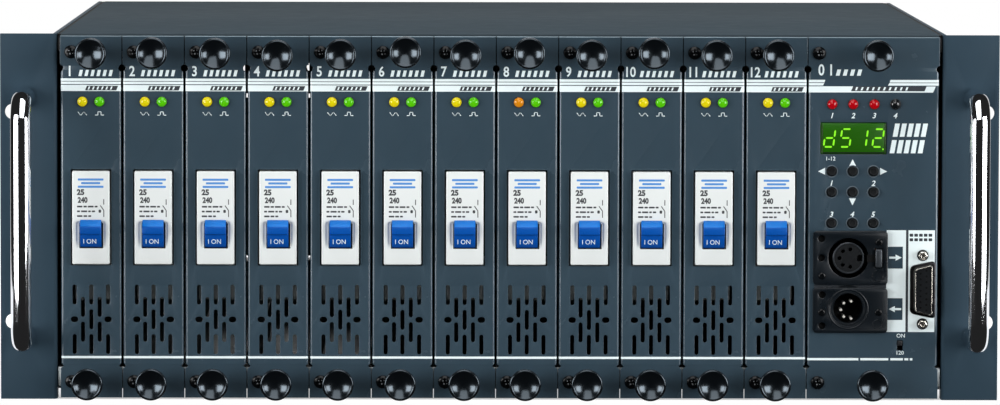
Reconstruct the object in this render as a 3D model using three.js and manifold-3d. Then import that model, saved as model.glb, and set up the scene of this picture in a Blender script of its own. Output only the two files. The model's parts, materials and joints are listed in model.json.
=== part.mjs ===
// A rack-mounted stage dimmer pack, four units high: twelve plug-in dimmer modules and
// one control module, side by side in a sheet-metal chassis with chrome front handles.
// Millimetres, +Z up. The front faces -Y and +X is on the right, seen from the front.
// The origin lies under the middle of the whole pack, level with the foot of the rack ears.

import * as THREE from "three";
import { mergeVertices } from "three/addons/utils/BufferGeometryUtils.js";
import Module from "manifold-3d";

const wasm = await Module();
wasm.setup();

// Rack front and bays
const rackWidth = 482.6; // nineteen inches, ear edge to ear edge
const rackHeight = 177; // four rack units
const chassisDepth = 400; // panel face to the outside of the rear wall
const earReach = 25.35; // outer edge of an ear to its side sheet
const moduleCount = 12;
const controlShare = 2.123; // width of the control module in dimmer modules

// Clearances
const fitGap = 0.3; // between pieces that seat on each other
const earGap = 1.4; // beside the outer modules
const panelGap = 0.4; // between the end tabs of two panels
const foldGap = 1.7; // between the folded edges of two panels
const coverGap = 0.7; // between the cover and the side sheets
const overrun = 1; // how far a cut or a joined piece runs past a face

// Sheet metal
const sheet = 1.5;
const earSheet = 2;
const foldRadius = 1.5;
const baseLift = 5; // underside of the tray above the foot of the ears
const trayLip = 9; // folded lips along the sides of the tray
const coverLip = 12; // folded lips of the side sheets, under the cover

// Rack ears
const earReturn = 9; // depth of the strip behind each ear that reaches down to its foot
const rackSlotLength = 11.8;
const rackSlotHeight = 7.5;
const rackSlotInset = 8.2; // slot centre from the outer edge of the ear
const rackSlotSpacing = 101.6; // between the centres of an ear's two slots

// Handles
const handleSpan = 116; // between the centres of the two legs
const handleRod = 9.8; // diameter
const handleReach = 47;
const handleBend = 11; // radius of the rod's centre line
const handleInset = 12.7; // from the outer edge of the ear

// Module panels
const panelLift = 0.7; // foot of the panels above the foot of the ears
const panelDrop = 1; // top of the panels below the top of the ears
const tabHeight = 14.9; // flat end tabs, where the edges aren't folded
const reliefHeight = 1.2; // notch between a tab and a folded edge
const flangeDepth = 10;
const flangeLap = 0.7; // how far a folded edge runs into the flat of the panel

// Pull knobs
const knobRadius = 7.6;
const knobReach = 17;
const knobStemRadius = 3.6;
const knobInset = 8.2; // knob centre from the end of the panel

// Indicator lamps
const lampRadius = 2.65;
const lampReach = 2.2;
const lampHeight = 144.2; // above the foot of the ears
const lampSpacing = 8.2;

// Cooling slots. Their rows share the height between the folded edges' foot and the breaker.
const ventWidth = 1.95;
const ventOvalWidth = 3.6;
const ventOvalHeight = 2.8;
const ventColumnShare = 0.1346; // from column to column, as a share of a module's width
const ventRowShare = 0.248;
const ventLengthShare = 0.198;
const ventCentreShare = 0.45;

// Circuit breakers
const breakerWidth = 18;
const breakerNoseHeight = 45;
const breakerBodyHeight = 83;
const breakerDepth = 70; // nose face to back
const breakerNoseDepth = 18; // nose face to shoulders
const breakerShoulder = 7; // slope between the nose and the body
const breakerReach = 3; // nose face in front of the panel
const breakerHeight = 88.2; // centre
const toggleDrop = 8.15; // toggle axis below the breaker's centre
const toggleSink = 5; // toggle axis behind the nose face
const toggleRadius = 7.3;
const toggleWidth = 10.3;
const toggleReach = 9.6; // lever tip in front of the axis

// Plug-in carriers
const carrierDepth = 285; // panel face to the rear edge
const carrierChamfer = 8;
const carrierInset = 0.8; // inside the ends of the folded edges
const guideFront = 14; // front end of the guides behind the panel face
const guideGrip = 5; // how deep a guide takes the carrier's edge
const guideWidth = 3.7;

// Heat sinks
const sinkFront = 92;
const sinkLength = 110;
const sinkHeight = 92;
const sinkBottom = 40;
const sinkBase = 4;
const sinkFinHeight = 16;
const sinkFinThickness = 3;
const sinkFinCount = 3;

// Chokes
const chokeRadius = 27;
const chokeBore = 11;
const chokeWidth = 20;
const chokeFront = 216;
const chokeHeight = 92; // centre

// Edge connectors and backplane
const bladeOffset = 1.2; // between the middles of the carrier's sheet and the blade
const bladeLength = 12;
const bladeHeight = 52;
const bladeCentre = 88;
const socketDepth = 14;
const socketWall = 2;
const boardThickness = 2;
const boardMargin = 1; // between the board's ends and the side sheets
const boardBottom = 46;
const boardHeight = 84;
const postWidth = 14;

// Front rails
const railHeight = 7;
const railDepth = 9;

// Fan
const fanSize = 119;
const fanDepth = 25;
const fanBoreRadius = 56.5;
const fanHeight = 91;
const fanInset = 96; // fan centre from the left side sheet
const fanHubRadius = 19;
const fanHubDepth = 15;
const fanBladeGap = 3;
const fanBladeThickness = 1.6;
const fanBladeChord = 20;
const fanShaftRadius = 2.4;
const fanShaftLength = 4;
const fanMountDepth = 5;
const fanStrutWidth = 5;
const guardWire = 2.2;
const guardCap = 15; // radius of the disc in the middle of the guard
const bladeCount = 7;
const bladePitchRoot = 36; // degrees
const bladePitchTip = 22;
const guardRingCount = 2;

// Cable entries in the rear wall
const knockoutRadius = 11;
const knockoutReach = 0.8;
const knockoutPitch = 42;
const knockoutColumns = 3;
const knockoutInset = 174; // first column from the right side sheet
const knockoutHeights = [60, 104];
const glandRadius = 15;
const glandReach = 16;
const glandBore = 8;
const glandDomeRadius = 11;
const glandInset = 26; // from the right side sheet
const glandHeight = 46;

// Control module. Heights are above the foot of the ears. An inset is measured from the left
// edge of the module's bay, and an outset from its right edge.
const statusLampCount = 4;
const statusLampPitch = 10.2;
const statusLampInset = 11.6; // first lamp
const displayWidth = 31.2;
const displayHeight = 14.7;
const displayReach = 0.6;
const displayInset = 22.2;
const displayCentre = 127.1;
const buttonRadius = 2.25;
const buttonReach = 1.8;
const buttonTravel = 0.8;
const buttonPitch = 10.1;
const buttonInset = 11.8; // first column
const buttonRows = [111.1, 101, 86];
const boardGap = 14; // panel face to the board behind the buttons
const boardInset = 4;
const controlBoardBottom = 82;
const controlBoardTop = 152;
const pillarRadius = 2.5;
const plateThickness = 2;
const plateChamfer = 2;
const xlrInset = 21;
const xlrWidth = 36.2;
const xlrBarrelRadius = 11.2;
const xlrBarrelDepth = 24;
const xlrShift = -1; // barrel centre beside the plate's centre
const xlrOutHeight = 26.2;
const xlrOutCentre = 69.2;
const xlrInHeight = 22;
const xlrInCentre = 43.8;
const xlrRingRadius = 9.7;
const xlrInsertRadius = 7.6;
const xlrGrooveDepth = 9;
const xlrCupRadius = 7.2;
const xlrCupDepth = 12;
const xlrInLift = 1; // cup centre above the plate's centre
const pinRadius = 0.8;
const pinCircle = 4.3; // radius
const pinSpread = 50; // degrees from pin to pin
const pinCount = 5;
const pinLength = 9;
const latchWidth = 3.2;
const latchHeight = 8.8;
const latchReach = 2.4; // in front of the connector's plate
const latchTravel = 1.5;
const latchOffset = 13.6; // from the plate's centre
const socketOutset = 7.8;
const socketCentre = 53.8;
const collarWidth = 11.2;
const collarHeight = 28.3;
const collarThickness = 1.2;
const shellWidth = 8.4;
const shellHeight = 25;
const shellTaper = 2.2; // taken off each end of the shell's narrow side
const shellReach = 5.3;
const shellBodyDepth = 10;
const jackSpacing = 33.3;
const jackRadius = 2.6;
const jackReach = 4.7;
const jackPadRadius = 3.2;
const jackNeckWidth = 4.4;
const sliderOutset = 18.6;
const sliderCentre = 26.7;
const sliderWidth = 2.2;
const sliderHeight = 2.3;
const sliderTravel = 2;
const sliderReach = 0.8;
const sliderHousingWidth = 7;
const sliderHousingHeight = 14;
const sliderHousingDepth = 7;
const transformerSize = 42;
const transformerFront = 150;
const windingShell = 8.4; // how far the winding stands out of the core, and the core past the winding

// Smoothness
const knobSides = 8;
const boreSides = 16;
const ringSides = 12;
const rodSides = 12;
const smallSides = 6;
const foldSteps = 2; // facets of a sheet's folded corner
const ventEndSteps = 2;
const rackSlotEndSteps = 4;
const handleBendSteps = 4;
const fanBladeSteps = 2;
const mergeTolerance = 1e-4;

// Places that follow from the sizes
const sideOuter = rackWidth / 2 - earReach;
const sideInner = sideOuter - earSheet;
const bayWidth = 2 * (sideInner - earGap);
const modulePitch = bayWidth / (moduleCount + controlShare);
const controlPitch = controlShare * modulePitch;
const panelBottom = panelLift;
const panelTop = rackHeight - panelDrop;
const foldBottom = panelBottom + tabHeight + reliefHeight;
const foldTop = panelTop - tabHeight - reliefHeight;
const carrierBottom = foldBottom + carrierInset;
const carrierTop = foldTop - carrierInset;
const floorTop = baseLift + sheet;
const coverUnder = rackHeight - sheet;
const wallTop = coverUnder - fitGap;
const rearInner = chassisDepth - sheet;
const packDepth = handleReach + chassisDepth + glandReach;
const frontY = handleReach - packDepth / 2;
const blockFront = carrierDepth + fitGap; // front of the backplane's sockets
const boardFront = blockFront + socketDepth;
const fanOffset = fanInset - sideInner;
const [controlLeft, controlRight] = [-controlPitch / 2, controlPitch / 2];
const displayOffset = controlLeft + displayInset;
const xlrOffset = controlLeft + xlrInset;
const barrelOffset = xlrOffset + xlrShift;
const socketOffset = controlRight - socketOutset;
const sliderOffset = controlRight - sliderOutset;
const toggleY = toggleSink - breakerReach;
const toggleZ = breakerHeight - toggleDrop;
const openingBottom = breakerHeight - breakerNoseHeight / 2 - fitGap;
const ventSpace = openingBottom - foldBottom;
const pocketRadius = (toggleRadius + fitGap) / Math.cos(Math.PI / ringSides);
const displayHole = [displayWidth + 2 * fitGap, displayHeight + 2 * fitGap];
const sliderHole = [sliderWidth + 2 * fitGap, sliderHeight + sliderTravel + 2 * fitGap];
const sliderTop = sliderCentre + sliderTravel / 2;
const socketHole = [shellWidth + 2 * fitGap, shellHeight + 2 * fitGap];

// Directions for outlines drawn in other planes than the ground
const toX = new THREE.Vector3(1, 0, 0);
const toY = new THREE.Vector3(0, 1, 0);
const toZ = new THREE.Vector3(0, 0, 1);
const uprightAcross = new THREE.Matrix4().makeBasis(toY, toZ, toX);
const uprightBack = new THREE.Matrix4().makeBasis(toX, toZ, toY.clone().negate());

// A closed geometry as a solid that can be joined and cut.
function solid(geometry) {
  geometry.deleteAttribute("normal");
  geometry.deleteAttribute("uv");
  const merged = mergeVertices(geometry, mergeTolerance);
  const corners = merged.index.array;
  const triangles = [];
  for (let i = 0; i < corners.length; i += 3) {
    const [a, b, c] = corners.slice(i, i + 3);
    if (a !== b && b !== c && c !== a) triangles.push(a, b, c);
  }
  const vertProperties = merged.attributes.position.array;
  const triVerts = new Uint32Array(triangles);
  return new wasm.Manifold(new wasm.Mesh({ numProp: 3, vertProperties, triVerts }));
}

// All the solids of a list in one.
function joined(solids) {
  return solids.reduce((sum, next) => sum.add(next));
}

// A block between two limits along each axis.
function block(x, y, z) {
  const size = [x, y, z].map(([low, high]) => high - low);
  const centre = [x, y, z].map(([low, high]) => (low + high) / 2);
  return solid(new THREE.BoxGeometry(...size).translate(...centre));
}

// An outline from its corners, with holes that are lists of corners too.
function outline(corners, holes = []) {
  const shape = new THREE.Shape(corners.map(([a, b]) => new THREE.Vector2(a, b)));
  shape.holes = holes.map((hole) => new THREE.Path(hole.map(([a, b]) => new THREE.Vector2(a, b))));
  return shape;
}

// The bare extrusion of an outline.
function extrusion(shape, depth) {
  return new THREE.ExtrudeGeometry(shape, { depth, bevelEnabled: false });
}

// An outline drawn in x and y, raised between two heights.
function raised(shape, [low, high]) {
  return solid(extrusion(shape, high - low).translate(0, 0, low));
}

// An outline drawn in x and z, running from one y to another.
function pushedBack(shape, [front, back]) {
  return solid(extrusion(shape, back - front).applyMatrix4(uprightBack).translate(0, back, 0));
}

// An outline drawn in y and z, running from one x to another.
function spread(shape, [left, right]) {
  return solid(extrusion(shape, right - left).applyMatrix4(uprightAcross).translate(left, 0, 0));
}

// The corners of a round or oval hole, or of a slot whose ends are round.
function slotCorners(x, z, width, height, endSteps) {
  const radius = Math.min(width, height) / 2;
  const [reachX, reachZ] = [width / 2 - radius, height / 2 - radius];
  const corners = [];
  for (const end of [1, -1]) {
    for (let step = 0; step <= endSteps; step++) {
      const turn = (Math.PI * step) / endSteps + (width > height ? -Math.PI / 2 : 0);
      const [a, b] = [Math.cos(turn) * radius + reachX, Math.sin(turn) * radius + reachZ];
      corners.push([x + end * a, z + end * b]);
    }
  }
  return corners;
}

// The corners of a quarter circle about the origin, from its top to its right.
function quarterTurn(radius, steps) {
  return Array.from({ length: steps + 1 }, (_, step) => {
    const turn = ((Math.PI / 2) * step) / steps;
    return [radius * Math.sin(turn), radius * Math.cos(turn)];
  });
}

// The corners of a regular outline round a point.
function ringCorners(x, z, radius, sides) {
  return Array.from({ length: sides }, (_, side) => {
    const turn = (2 * Math.PI * side) / sides;
    return [x + radius * Math.cos(turn), z + radius * Math.sin(turn)];
  });
}

// The corners of a rectangle with its corners cut off.
function trimmedCorners(x, z, width, height, trim) {
  const [a, b] = [width / 2, height / 2];
  return [
    [x - a + trim, z - b], [x + a - trim, z - b], [x + a, z - b + trim], [x + a, z + b - trim],
    [x + a - trim, z + b], [x - a + trim, z + b], [x - a, z + b - trim], [x - a, z - b + trim],
  ];
}

// A round piece whose axis points out of the front. The profile gives radius and reach,
// from the back of the piece to its front.
function turned(profile, x, z, sides) {
  const points = profile.map(([radius, reach]) => new THREE.Vector2(radius, reach));
  return solid(new THREE.LatheGeometry(points, sides).rotateX(Math.PI).translate(x, 0, z));
}

// A plain round bar along Y between two limits.
function bar(radius, x, z, [front, back], sides) {
  return turned([[0, -back], [radius, -back], [radius, -front], [0, -front]], x, z, sides);
}

// A finished piece: a named mesh in the colour and finish of its material.
function piece(name, shape, material, x = 0, y = 0, z = 0) {
  const made = shape.getMesh();
  const geometry = new THREE.BufferGeometry();
  geometry.setAttribute("position", new THREE.BufferAttribute(made.vertProperties, made.numProp));
  geometry.setIndex(new THREE.BufferAttribute(made.triVerts, 1));
  geometry.computeVertexNormals();
  const mesh = new THREE.Mesh(geometry, material);
  mesh.name = name;
  mesh.position.set(x, y, z);
  return mesh;
}

function paint(color, roughness, metalness = 0) {
  return new THREE.MeshStandardMaterial({ color, roughness, metalness, flatShading: true });
}

const panelPaint = paint(0x3a4b58, 0.5);
const coverPaint = paint(0x48545a, 0.55);
const zincSteel = paint(0xa9adb0, 0.4, 0.9);
const chrome = paint(0xd8dadd, 0.08, 1);
const whitePlastic = paint(0xdde4e3, 0.45);
const bluePlastic = paint(0x1a5fc0, 0.35);
const blackPlastic = paint(0x17191c, 0.35);
const blackMetal = paint(0x1c1f22, 0.4, 0.6);
const greenWindow = paint(0x2f6a12, 0.2);
const greenBoard = paint(0x1f5b33, 0.5);
const plainSteel = paint(0xb8b4a8, 0.3, 1);

// Module fronts

// The flat of a panel, centred on its bay: full width at the end tabs, narrower between them.
function panelFlat(pitch, holes) {
  const tab = pitch / 2 - panelGap / 2;
  const waist = pitch / 2 - foldGap / 2 - foldRadius;
  const right = [
    [tab, panelBottom],
    [tab, panelBottom + tabHeight],
    [waist, panelBottom + tabHeight],
    [waist, panelTop - tabHeight],
    [tab, panelTop - tabHeight],
    [tab, panelTop],
  ];
  const left = right.map(([x, z]) => [-x, z]).reverse();
  return pushedBack(outline([...right, ...left], holes), [0, sheet]);
}

// One long edge of a panel, folded back with a round corner. Side is 1 for the right edge.
function foldedEdge(pitch, side) {
  const edge = pitch / 2 - foldGap / 2;
  const corner = quarterTurn(foldRadius, foldSteps).map(([a, b]) => [edge - foldRadius + a, foldRadius - b]);
  const root = edge - foldRadius - flangeLap;
  const corners = [
    [root, 0],
    ...corner,
    [edge, flangeDepth],
    [edge - sheet, flangeDepth],
    [edge - sheet, sheet],
    [root, sheet],
  ];
  return raised(outline(corners.map(([x, y]) => [side * x, y])), [foldBottom, foldTop]);
}

// The glossy pull knob: a short stem under a domed cap.
function pullKnob(z) {
  const stemShare = 0.64;
  const capShares = [[1, 0.76], [0.78, 0.93], [0, 1]];
  const profile = [
    [0, -sheet / 2],
    [knobStemRadius, -sheet / 2],
    [knobStemRadius, stemShare * knobReach],
    ...capShares.map(([radius, reach]) => [radius * knobRadius, reach * knobReach]),
  ];
  return turned(profile, 0, z, knobSides);
}

// An indicator lamp that looks out of the panel.
function lamp(x, z) {
  const profile = [
    [0, -sheet / 2],
    [lampRadius, -sheet / 2],
    [lampRadius, lampReach / 2],
    [0, lampReach],
  ];
  return turned(profile, x, z, smallSides);
}

// The left edge of the panel runs on as an upright plate, which slides in the guides.
function carrier(pitch) {
  const left = -pitch / 2 + foldGap / 2;
  const corners = [
    [sheet / 2, carrierBottom],
    [carrierDepth - carrierChamfer, carrierBottom],
    [carrierDepth, carrierBottom + carrierChamfer],
    [carrierDepth, carrierTop - carrierChamfer],
    [carrierDepth - carrierChamfer, carrierTop],
    [sheet / 2, carrierTop],
  ];
  return spread(outline(corners), [left, left + sheet]);
}

// The contact blade of the plug-in connection, beside the carrier's rear edge.
function blade(pitch) {
  const left = -pitch / 2 + foldGap / 2 + bladeOffset;
  const reach = [carrierDepth - bladeLength, carrierDepth + bladeLength];
  return block([left, left + sheet], reach, spanAround(bladeCentre, bladeHeight));
}

// The two limits of a length laid evenly about its middle.
function spanAround(centre, length) {
  return [centre - length / 2, centre + length / 2];
}

// Two limits in rising order.
function between(a, b) {
  return [Math.min(a, b), Math.max(a, b)];
}

// What every plug-in module has: panel, folded edges, knobs, carrier and blade.
function moduleFrame(pitch, holes) {
  return joined([
    panelFlat(pitch, holes),
    foldedEdge(pitch, 1),
    foldedEdge(pitch, -1),
    pullKnob(panelTop - knobInset),
    pullKnob(panelBottom + knobInset),
    carrier(pitch),
    blade(pitch),
  ]);
}

// Dimmer modules

// The cooling pattern: long slots in five staggered columns, with an oval at each side.
function ventHoles() {
  const holes = [];
  for (const column of [-2, 0, 2]) {
    for (const row of [-1, 0, 1]) {
      if (row === 0 && column !== 0) continue;
      holes.push([column, row]);
    }
  }
  for (const column of [-1, 1]) holes.push([column, -1 / 2], [column, 1 / 2]);
  const centre = foldBottom + ventCentreShare * ventSpace;
  const slots = holes.map(([column, row]) => {
    const [x, z] = [column * ventColumnShare * modulePitch, centre + row * ventRowShare * ventSpace];
    return slotCorners(x, z, ventWidth, ventLengthShare * ventSpace, ventEndSteps);
  });
  const ovals = [-2, 2].map((column) =>
    slotCorners(column * ventColumnShare * modulePitch, centre, ventOvalWidth, ventOvalHeight, ventEndSteps),
  );
  return [...slots, ...ovals];
}

// The opening that the breaker's nose comes through.
function breakerOpening() {
  const [x, z] = [breakerWidth / 2 + fitGap, breakerNoseHeight / 2 + fitGap];
  return [
    [-x, breakerHeight - z],
    [x, breakerHeight - z],
    [x, breakerHeight + z],
    [-x, breakerHeight + z],
  ];
}

// The finned heat sink on the carrier, its fins lying along the air stream.
function heatSink(pitch) {
  const root = -pitch / 2 + foldGap / 2 + sheet / 2;
  const base = -pitch / 2 + foldGap / 2 + sheet + sinkBase;
  const step = (sinkHeight - sinkFinThickness) / (sinkFinCount - 1);
  const corners = [[root, sinkBottom]];
  for (let fin = 0; fin < sinkFinCount; fin++) {
    const [low, high] = [sinkBottom + fin * step, sinkBottom + fin * step + sinkFinThickness];
    if (fin > 0) corners.push([base, low]);
    corners.push([base + sinkFinHeight, low], [base + sinkFinHeight, high]);
    if (fin < sinkFinCount - 1) corners.push([base, high]);
  }
  corners.push([root, sinkBottom + sinkHeight]);
  return pushedBack(outline(corners), [sinkFront, sinkFront + sinkLength]);
}

// The ring-shaped choke, lying flat against the carrier.
function choke(pitch) {
  const face = -pitch / 2 + foldGap / 2 + sheet / 2;
  const middle = chokeFront + chokeRadius;
  const rim = ringCorners(middle, chokeHeight, chokeRadius, ringSides);
  const bore = ringCorners(middle, chokeHeight, chokeBore, smallSides);
  return spread(outline(rim, [bore]), [face, face + chokeWidth]);
}

function dimmerModule() {
  const lamps = [-1, 1].map((side) => lamp((side * lampSpacing) / 2, lampHeight));
  return joined([
    moduleFrame(modulePitch, [...ventHoles(), breakerOpening()]),
    heatSink(modulePitch),
    choke(modulePitch),
    ...lamps,
  ]);
}

// Circuit breakers

// The breaker's housing in side view is a nose with sloping shoulders on a taller body.
// A round pocket in the nose holds the drum of the toggle.
function breaker() {
  const [nose, body] = [breakerNoseHeight / 2, breakerBodyHeight / 2];
  const face = -breakerReach;
  const upper = [
    [face, nose],
    [face + breakerNoseDepth, nose],
    [face + breakerNoseDepth + breakerShoulder, body],
    [face + breakerDepth, body],
  ];
  const lower = upper.map(([y, z]) => [y, -z]).reverse();
  const corners = [...upper, ...lower].map(([y, z]) => [y, breakerHeight + z]);
  const housing = spread(outline(corners), spanAround(0, breakerWidth));
  const drum = outline(ringCorners(toggleY, toggleZ, pocketRadius, ringSides));
  return housing.subtract(spread(drum, spanAround(0, toggleWidth + 2 * fitGap)));
}

// The toggle: a drum with a lever whose top slopes down to a blunt tip. It stands at ON.
// Angles are degrees above the way straight out of the front.
function toggle() {
  const leverShares = [[0.57, 0.765], [1, 0.42], [1, 0.06]];
  const drumAngles = [3, -21, -44, -66, -105, -150, -195, -240, -265, -290, -316];
  const lever = leverShares.map(([y, z]) => [-y * toggleReach, z * toggleReach]);
  const drum = drumAngles.map((angle) => {
    const turn = THREE.MathUtils.degToRad(angle);
    return [-toggleRadius * Math.cos(turn), toggleRadius * Math.sin(turn)];
  });
  return spread(outline([...lever, ...drum]), spanAround(0, toggleWidth));
}

// Control module

// The places of the nine buttons, row by row from the top left.
function buttonPlaces() {
  return buttonRows.flatMap((z) =>
    [0, 1, 2].map((column) => [controlLeft + buttonInset + column * buttonPitch, z]),
  );
}

function rectangle(x, z, [width, height]) {
  return trimmedCorners(x, z, width, height, 0).filter((_, corner) => corner % 2 === 0);
}

function controlHoles() {
  const hole = xlrBarrelRadius + fitGap;
  const shift = latchOffset + xlrOffset;
  return [
    rectangle(displayOffset, displayCentre, displayHole),
    ...buttonPlaces().map(([x, z]) => ringCorners(x, z, buttonRadius + fitGap, knobSides)),
    ringCorners(barrelOffset, xlrOutCentre, hole, ringSides),
    ringCorners(barrelOffset, xlrInCentre + xlrInLift, hole, ringSides),
    rectangle(shift, xlrOutCentre, [latchWidth + 2 * fitGap, latchHeight + 2 * fitGap]),
    rectangle(socketOffset, socketCentre, socketHole),
    rectangle(sliderOffset, sliderCentre, sliderHole),
  ];
}

// The board behind the display and the buttons, on four pillars.
function keyBoard() {
  const [left, right] = [controlLeft + boardInset, controlRight - boardInset];
  const board = block([left, right], [boardGap, boardGap + boardThickness],
    [controlBoardBottom, controlBoardTop]);
  const pillars = [left + pillarRadius, right - pillarRadius].flatMap((x) =>
    [controlBoardBottom + pillarRadius, controlBoardTop - pillarRadius].map((z) =>
      bar(pillarRadius, x, z, [sheet / 2, boardGap + boardThickness / 2], smallSides),
    ),
  );
  return joined([board, ...pillars]);
}

// The mains transformer of the control supply, on the carrier.
function transformer() {
  const face = -controlPitch / 2 + foldGap / 2 + sheet / 2;
  const core = block([face, face + transformerSize],
    [transformerFront, transformerFront + transformerSize],
    spanAround(bladeCentre, transformerSize));
  const winding = block([face + windingShell, face + transformerSize - windingShell],
    [transformerFront - windingShell, transformerFront + transformerSize + windingShell],
    spanAround(bladeCentre, transformerSize - 2 * windingShell));
  return core.add(winding);
}

// The housing of the slide switch, fixed behind the panel.
function switchHousing() {
  const back = [sheet / 2, sheet + sliderReach + sliderHousingDepth];
  const shell = block(spanAround(sliderOffset, sliderHousingWidth), back,
    spanAround(sliderCentre, sliderHousingHeight));
  const [x, z] = [spanAround(sliderOffset, sliderHole[0]), spanAround(sliderCentre, sliderHole[1])];
  return shell.subtract(block(x, [-overrun, sheet + sliderReach + fitGap], z));
}

function controlModule() {
  const lamps = Array.from({ length: statusLampCount }, (_, place) =>
    lamp(controlLeft + statusLampInset + place * statusLampPitch, lampHeight),
  );
  return joined([
    moduleFrame(controlPitch, controlHoles()),
    keyBoard(),
    transformer(),
    switchHousing(),
    ...lamps,
  ]);
}

function displayWindow() {
  const reach = [-displayReach, boardGap - fitGap];
  return block(spanAround(displayOffset, displayWidth), reach, spanAround(displayCentre, displayHeight));
}

function button() {
  const back = boardGap - fitGap - buttonTravel;
  return bar(buttonRadius, 0, 0, [-buttonReach, back], knobSides);
}

function connectorPlate(height, centre) {
  const corners = trimmedCorners(xlrOffset, centre, xlrWidth, height, plateChamfer);
  return pushedBack(outline(corners), [-fitGap - plateThickness, -fitGap]);
}

// The outgoing five-pin socket: a round insert inside a ring-shaped groove.
function xlrOut() {
  const face = -fitGap - plateThickness;
  const plate = connectorPlate(xlrOutHeight, xlrOutCentre);
  const barrel = bar(xlrBarrelRadius, barrelOffset, xlrOutCentre, [face / 2, xlrBarrelDepth], ringSides);
  const groove = bar(xlrRingRadius, barrelOffset, xlrOutCentre,
    [face - overrun, face + xlrGrooveDepth], ringSides);
  const insert = bar(xlrInsertRadius, barrelOffset, xlrOutCentre,
    [face, face + xlrGrooveDepth + overrun], ringSides);
  const latchSlot = block(spanAround(xlrOffset + latchOffset, latchWidth + 2 * fitGap),
    [face - overrun, overrun], spanAround(xlrOutCentre, latchHeight + 2 * fitGap));
  return plate.add(barrel).subtract(groove).add(insert).subtract(latchSlot);
}

// The latch beside the outgoing socket, pressed in to let the plug go.
function xlrLatch() {
  const back = sheet + latchTravel;
  return block(spanAround(xlrOffset + latchOffset, latchWidth),
    [-fitGap - plateThickness - latchReach, back], spanAround(xlrOutCentre, latchHeight));
}

// The incoming plug: a round cup with five pins.
function xlrIn() {
  const face = -fitGap - plateThickness;
  const centre = xlrInCentre + xlrInLift;
  const barrel = bar(xlrBarrelRadius, barrelOffset, centre, [face / 2, xlrBarrelDepth], ringSides);
  const cup = bar(xlrCupRadius, barrelOffset, centre, [face - overrun, face + xlrCupDepth], ringSides);
  const pins = Array.from({ length: pinCount }, (_, place) => {
    const turn = Math.PI + THREE.MathUtils.degToRad((place - (pinCount - 1) / 2) * pinSpread);
    const [x, z] = [barrelOffset + pinCircle * Math.cos(turn), centre + pinCircle * Math.sin(turn)];
    const bottom = face + xlrCupDepth;
    return bar(pinRadius, x, z, [bottom - pinLength, bottom + overrun], smallSides);
  });
  const body = connectorPlate(xlrInHeight, xlrInCentre).add(barrel).subtract(cup);
  return joined([body, ...pins]);
}

// A D-shaped outline, its wide side on the right.
function socketCorners(width, height) {
  const [x, z] = [width / 2, height / 2];
  const trim = shellTaper / 2;
  return [
    [socketOffset - x + trim, socketCentre - z + shellTaper],
    [socketOffset + x - trim, socketCentre - z],
    [socketOffset + x, socketCentre - z + trim],
    [socketOffset + x, socketCentre + z - trim],
    [socketOffset + x - trim, socketCentre + z],
    [socketOffset - x + trim, socketCentre + z - shellTaper],
    [socketOffset - x, socketCentre + z - shellTaper - trim],
    [socketOffset - x, socketCentre - z + shellTaper + trim],
  ];
}

// The fifteen-way analogue socket: a dark collar round the shell, and a pad for each jack screw.
function analogueSocket() {
  const face = -fitGap - collarThickness;
  const flange = [face, -fitGap];
  const collar = pushedBack(outline(socketCorners(collarWidth, collarHeight)), flange);
  const heights = spanAround(socketCentre, jackSpacing);
  const neck = block(spanAround(socketOffset, jackNeckWidth), flange, heights);
  const shell = pushedBack(outline(socketCorners(shellWidth, shellHeight)),
    [face - shellReach, shellBodyDepth]);
  const pads = heights.map((z) => bar(jackPadRadius, socketOffset, z, flange, ringSides));
  const screws = heights.map((z) =>
    bar(jackRadius, socketOffset, z, [face - jackReach, face / 2], smallSides),
  );
  return joined([collar, neck, shell, ...pads, ...screws]);
}

function terminateSlider() {
  const reach = [-sliderReach, sheet + sliderReach];
  return block(spanAround(0, sliderWidth), reach, spanAround(0, sliderHeight));
}

// Chassis

// The middles of the carriers' sheets, from the first bay to the control module's.
function carrierPlaces() {
  const first = -bayWidth / 2 + foldGap / 2 + sheet / 2;
  return Array.from({ length: moduleCount + 1 }, (_, bay) => first + bay * modulePitch);
}

// The grooved guides for all carriers. Base is the height they stand on and edge that of the
// carriers' edges. Way is 1 for the lower guides, which open upwards, and -1 for the upper ones.
function guides(base, edge, way) {
  const [slot, half] = [sheet / 2 + fitGap, guideWidth / 2];
  const [mouth, bottom] = [edge + way * guideGrip, edge - way * fitGap];
  return carrierPlaces().map((x) => {
    const corners = [
      [x - half, base], [x + half, base], [x + half, mouth], [x + slot, mouth],
      [x + slot, bottom], [x - slot, bottom], [x - slot, mouth], [x - half, mouth],
    ];
    return pushedBack(outline(corners), [guideFront, carrierDepth]);
  });
}

// The rail that the panels' screws bite into, across the whole bay.
function rail(bottom, top) {
  return block([fitGap - sideInner, sideInner - fitGap], [sheet + fitGap, sheet + fitGap + railDepth],
    [bottom, top]);
}

// The fan's frame and motor mount on the inside of the rear wall, with the bore for its shaft.
function fanFrame() {
  const back = rearInner + sheet / 2;
  const front = rearInner - fanDepth;
  const bore = ringCorners(fanOffset, fanHeight, fanBoreRadius, boreSides);
  const square = rectangle(fanOffset, fanHeight, [fanSize, fanSize]);
  const frame = pushedBack(outline(square, [bore]), [front, back]);
  const mount = bar(fanHubRadius, fanOffset, fanHeight, [rearInner - fanMountDepth, rearInner], ringSides);
  const boreRadius = (fanShaftRadius + fitGap) / Math.cos(Math.PI / smallSides);
  const shaftHole = bar(boreRadius, fanOffset, fanHeight,
    [rearInner - fanMountDepth - overrun, rearInner + overrun], smallSides);
  const strut = [rearInner - fanMountDepth, rearInner];
  const reach = fanBoreRadius + overrun;
  const struts = [
    block(spanAround(fanOffset, 2 * reach), strut, spanAround(fanHeight, fanStrutWidth)),
    block(spanAround(fanOffset, fanStrutWidth), strut, spanAround(fanHeight, 2 * reach)),
  ];
  return joined([frame, mount, ...struts]).subtract(shaftHole);
}

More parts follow.
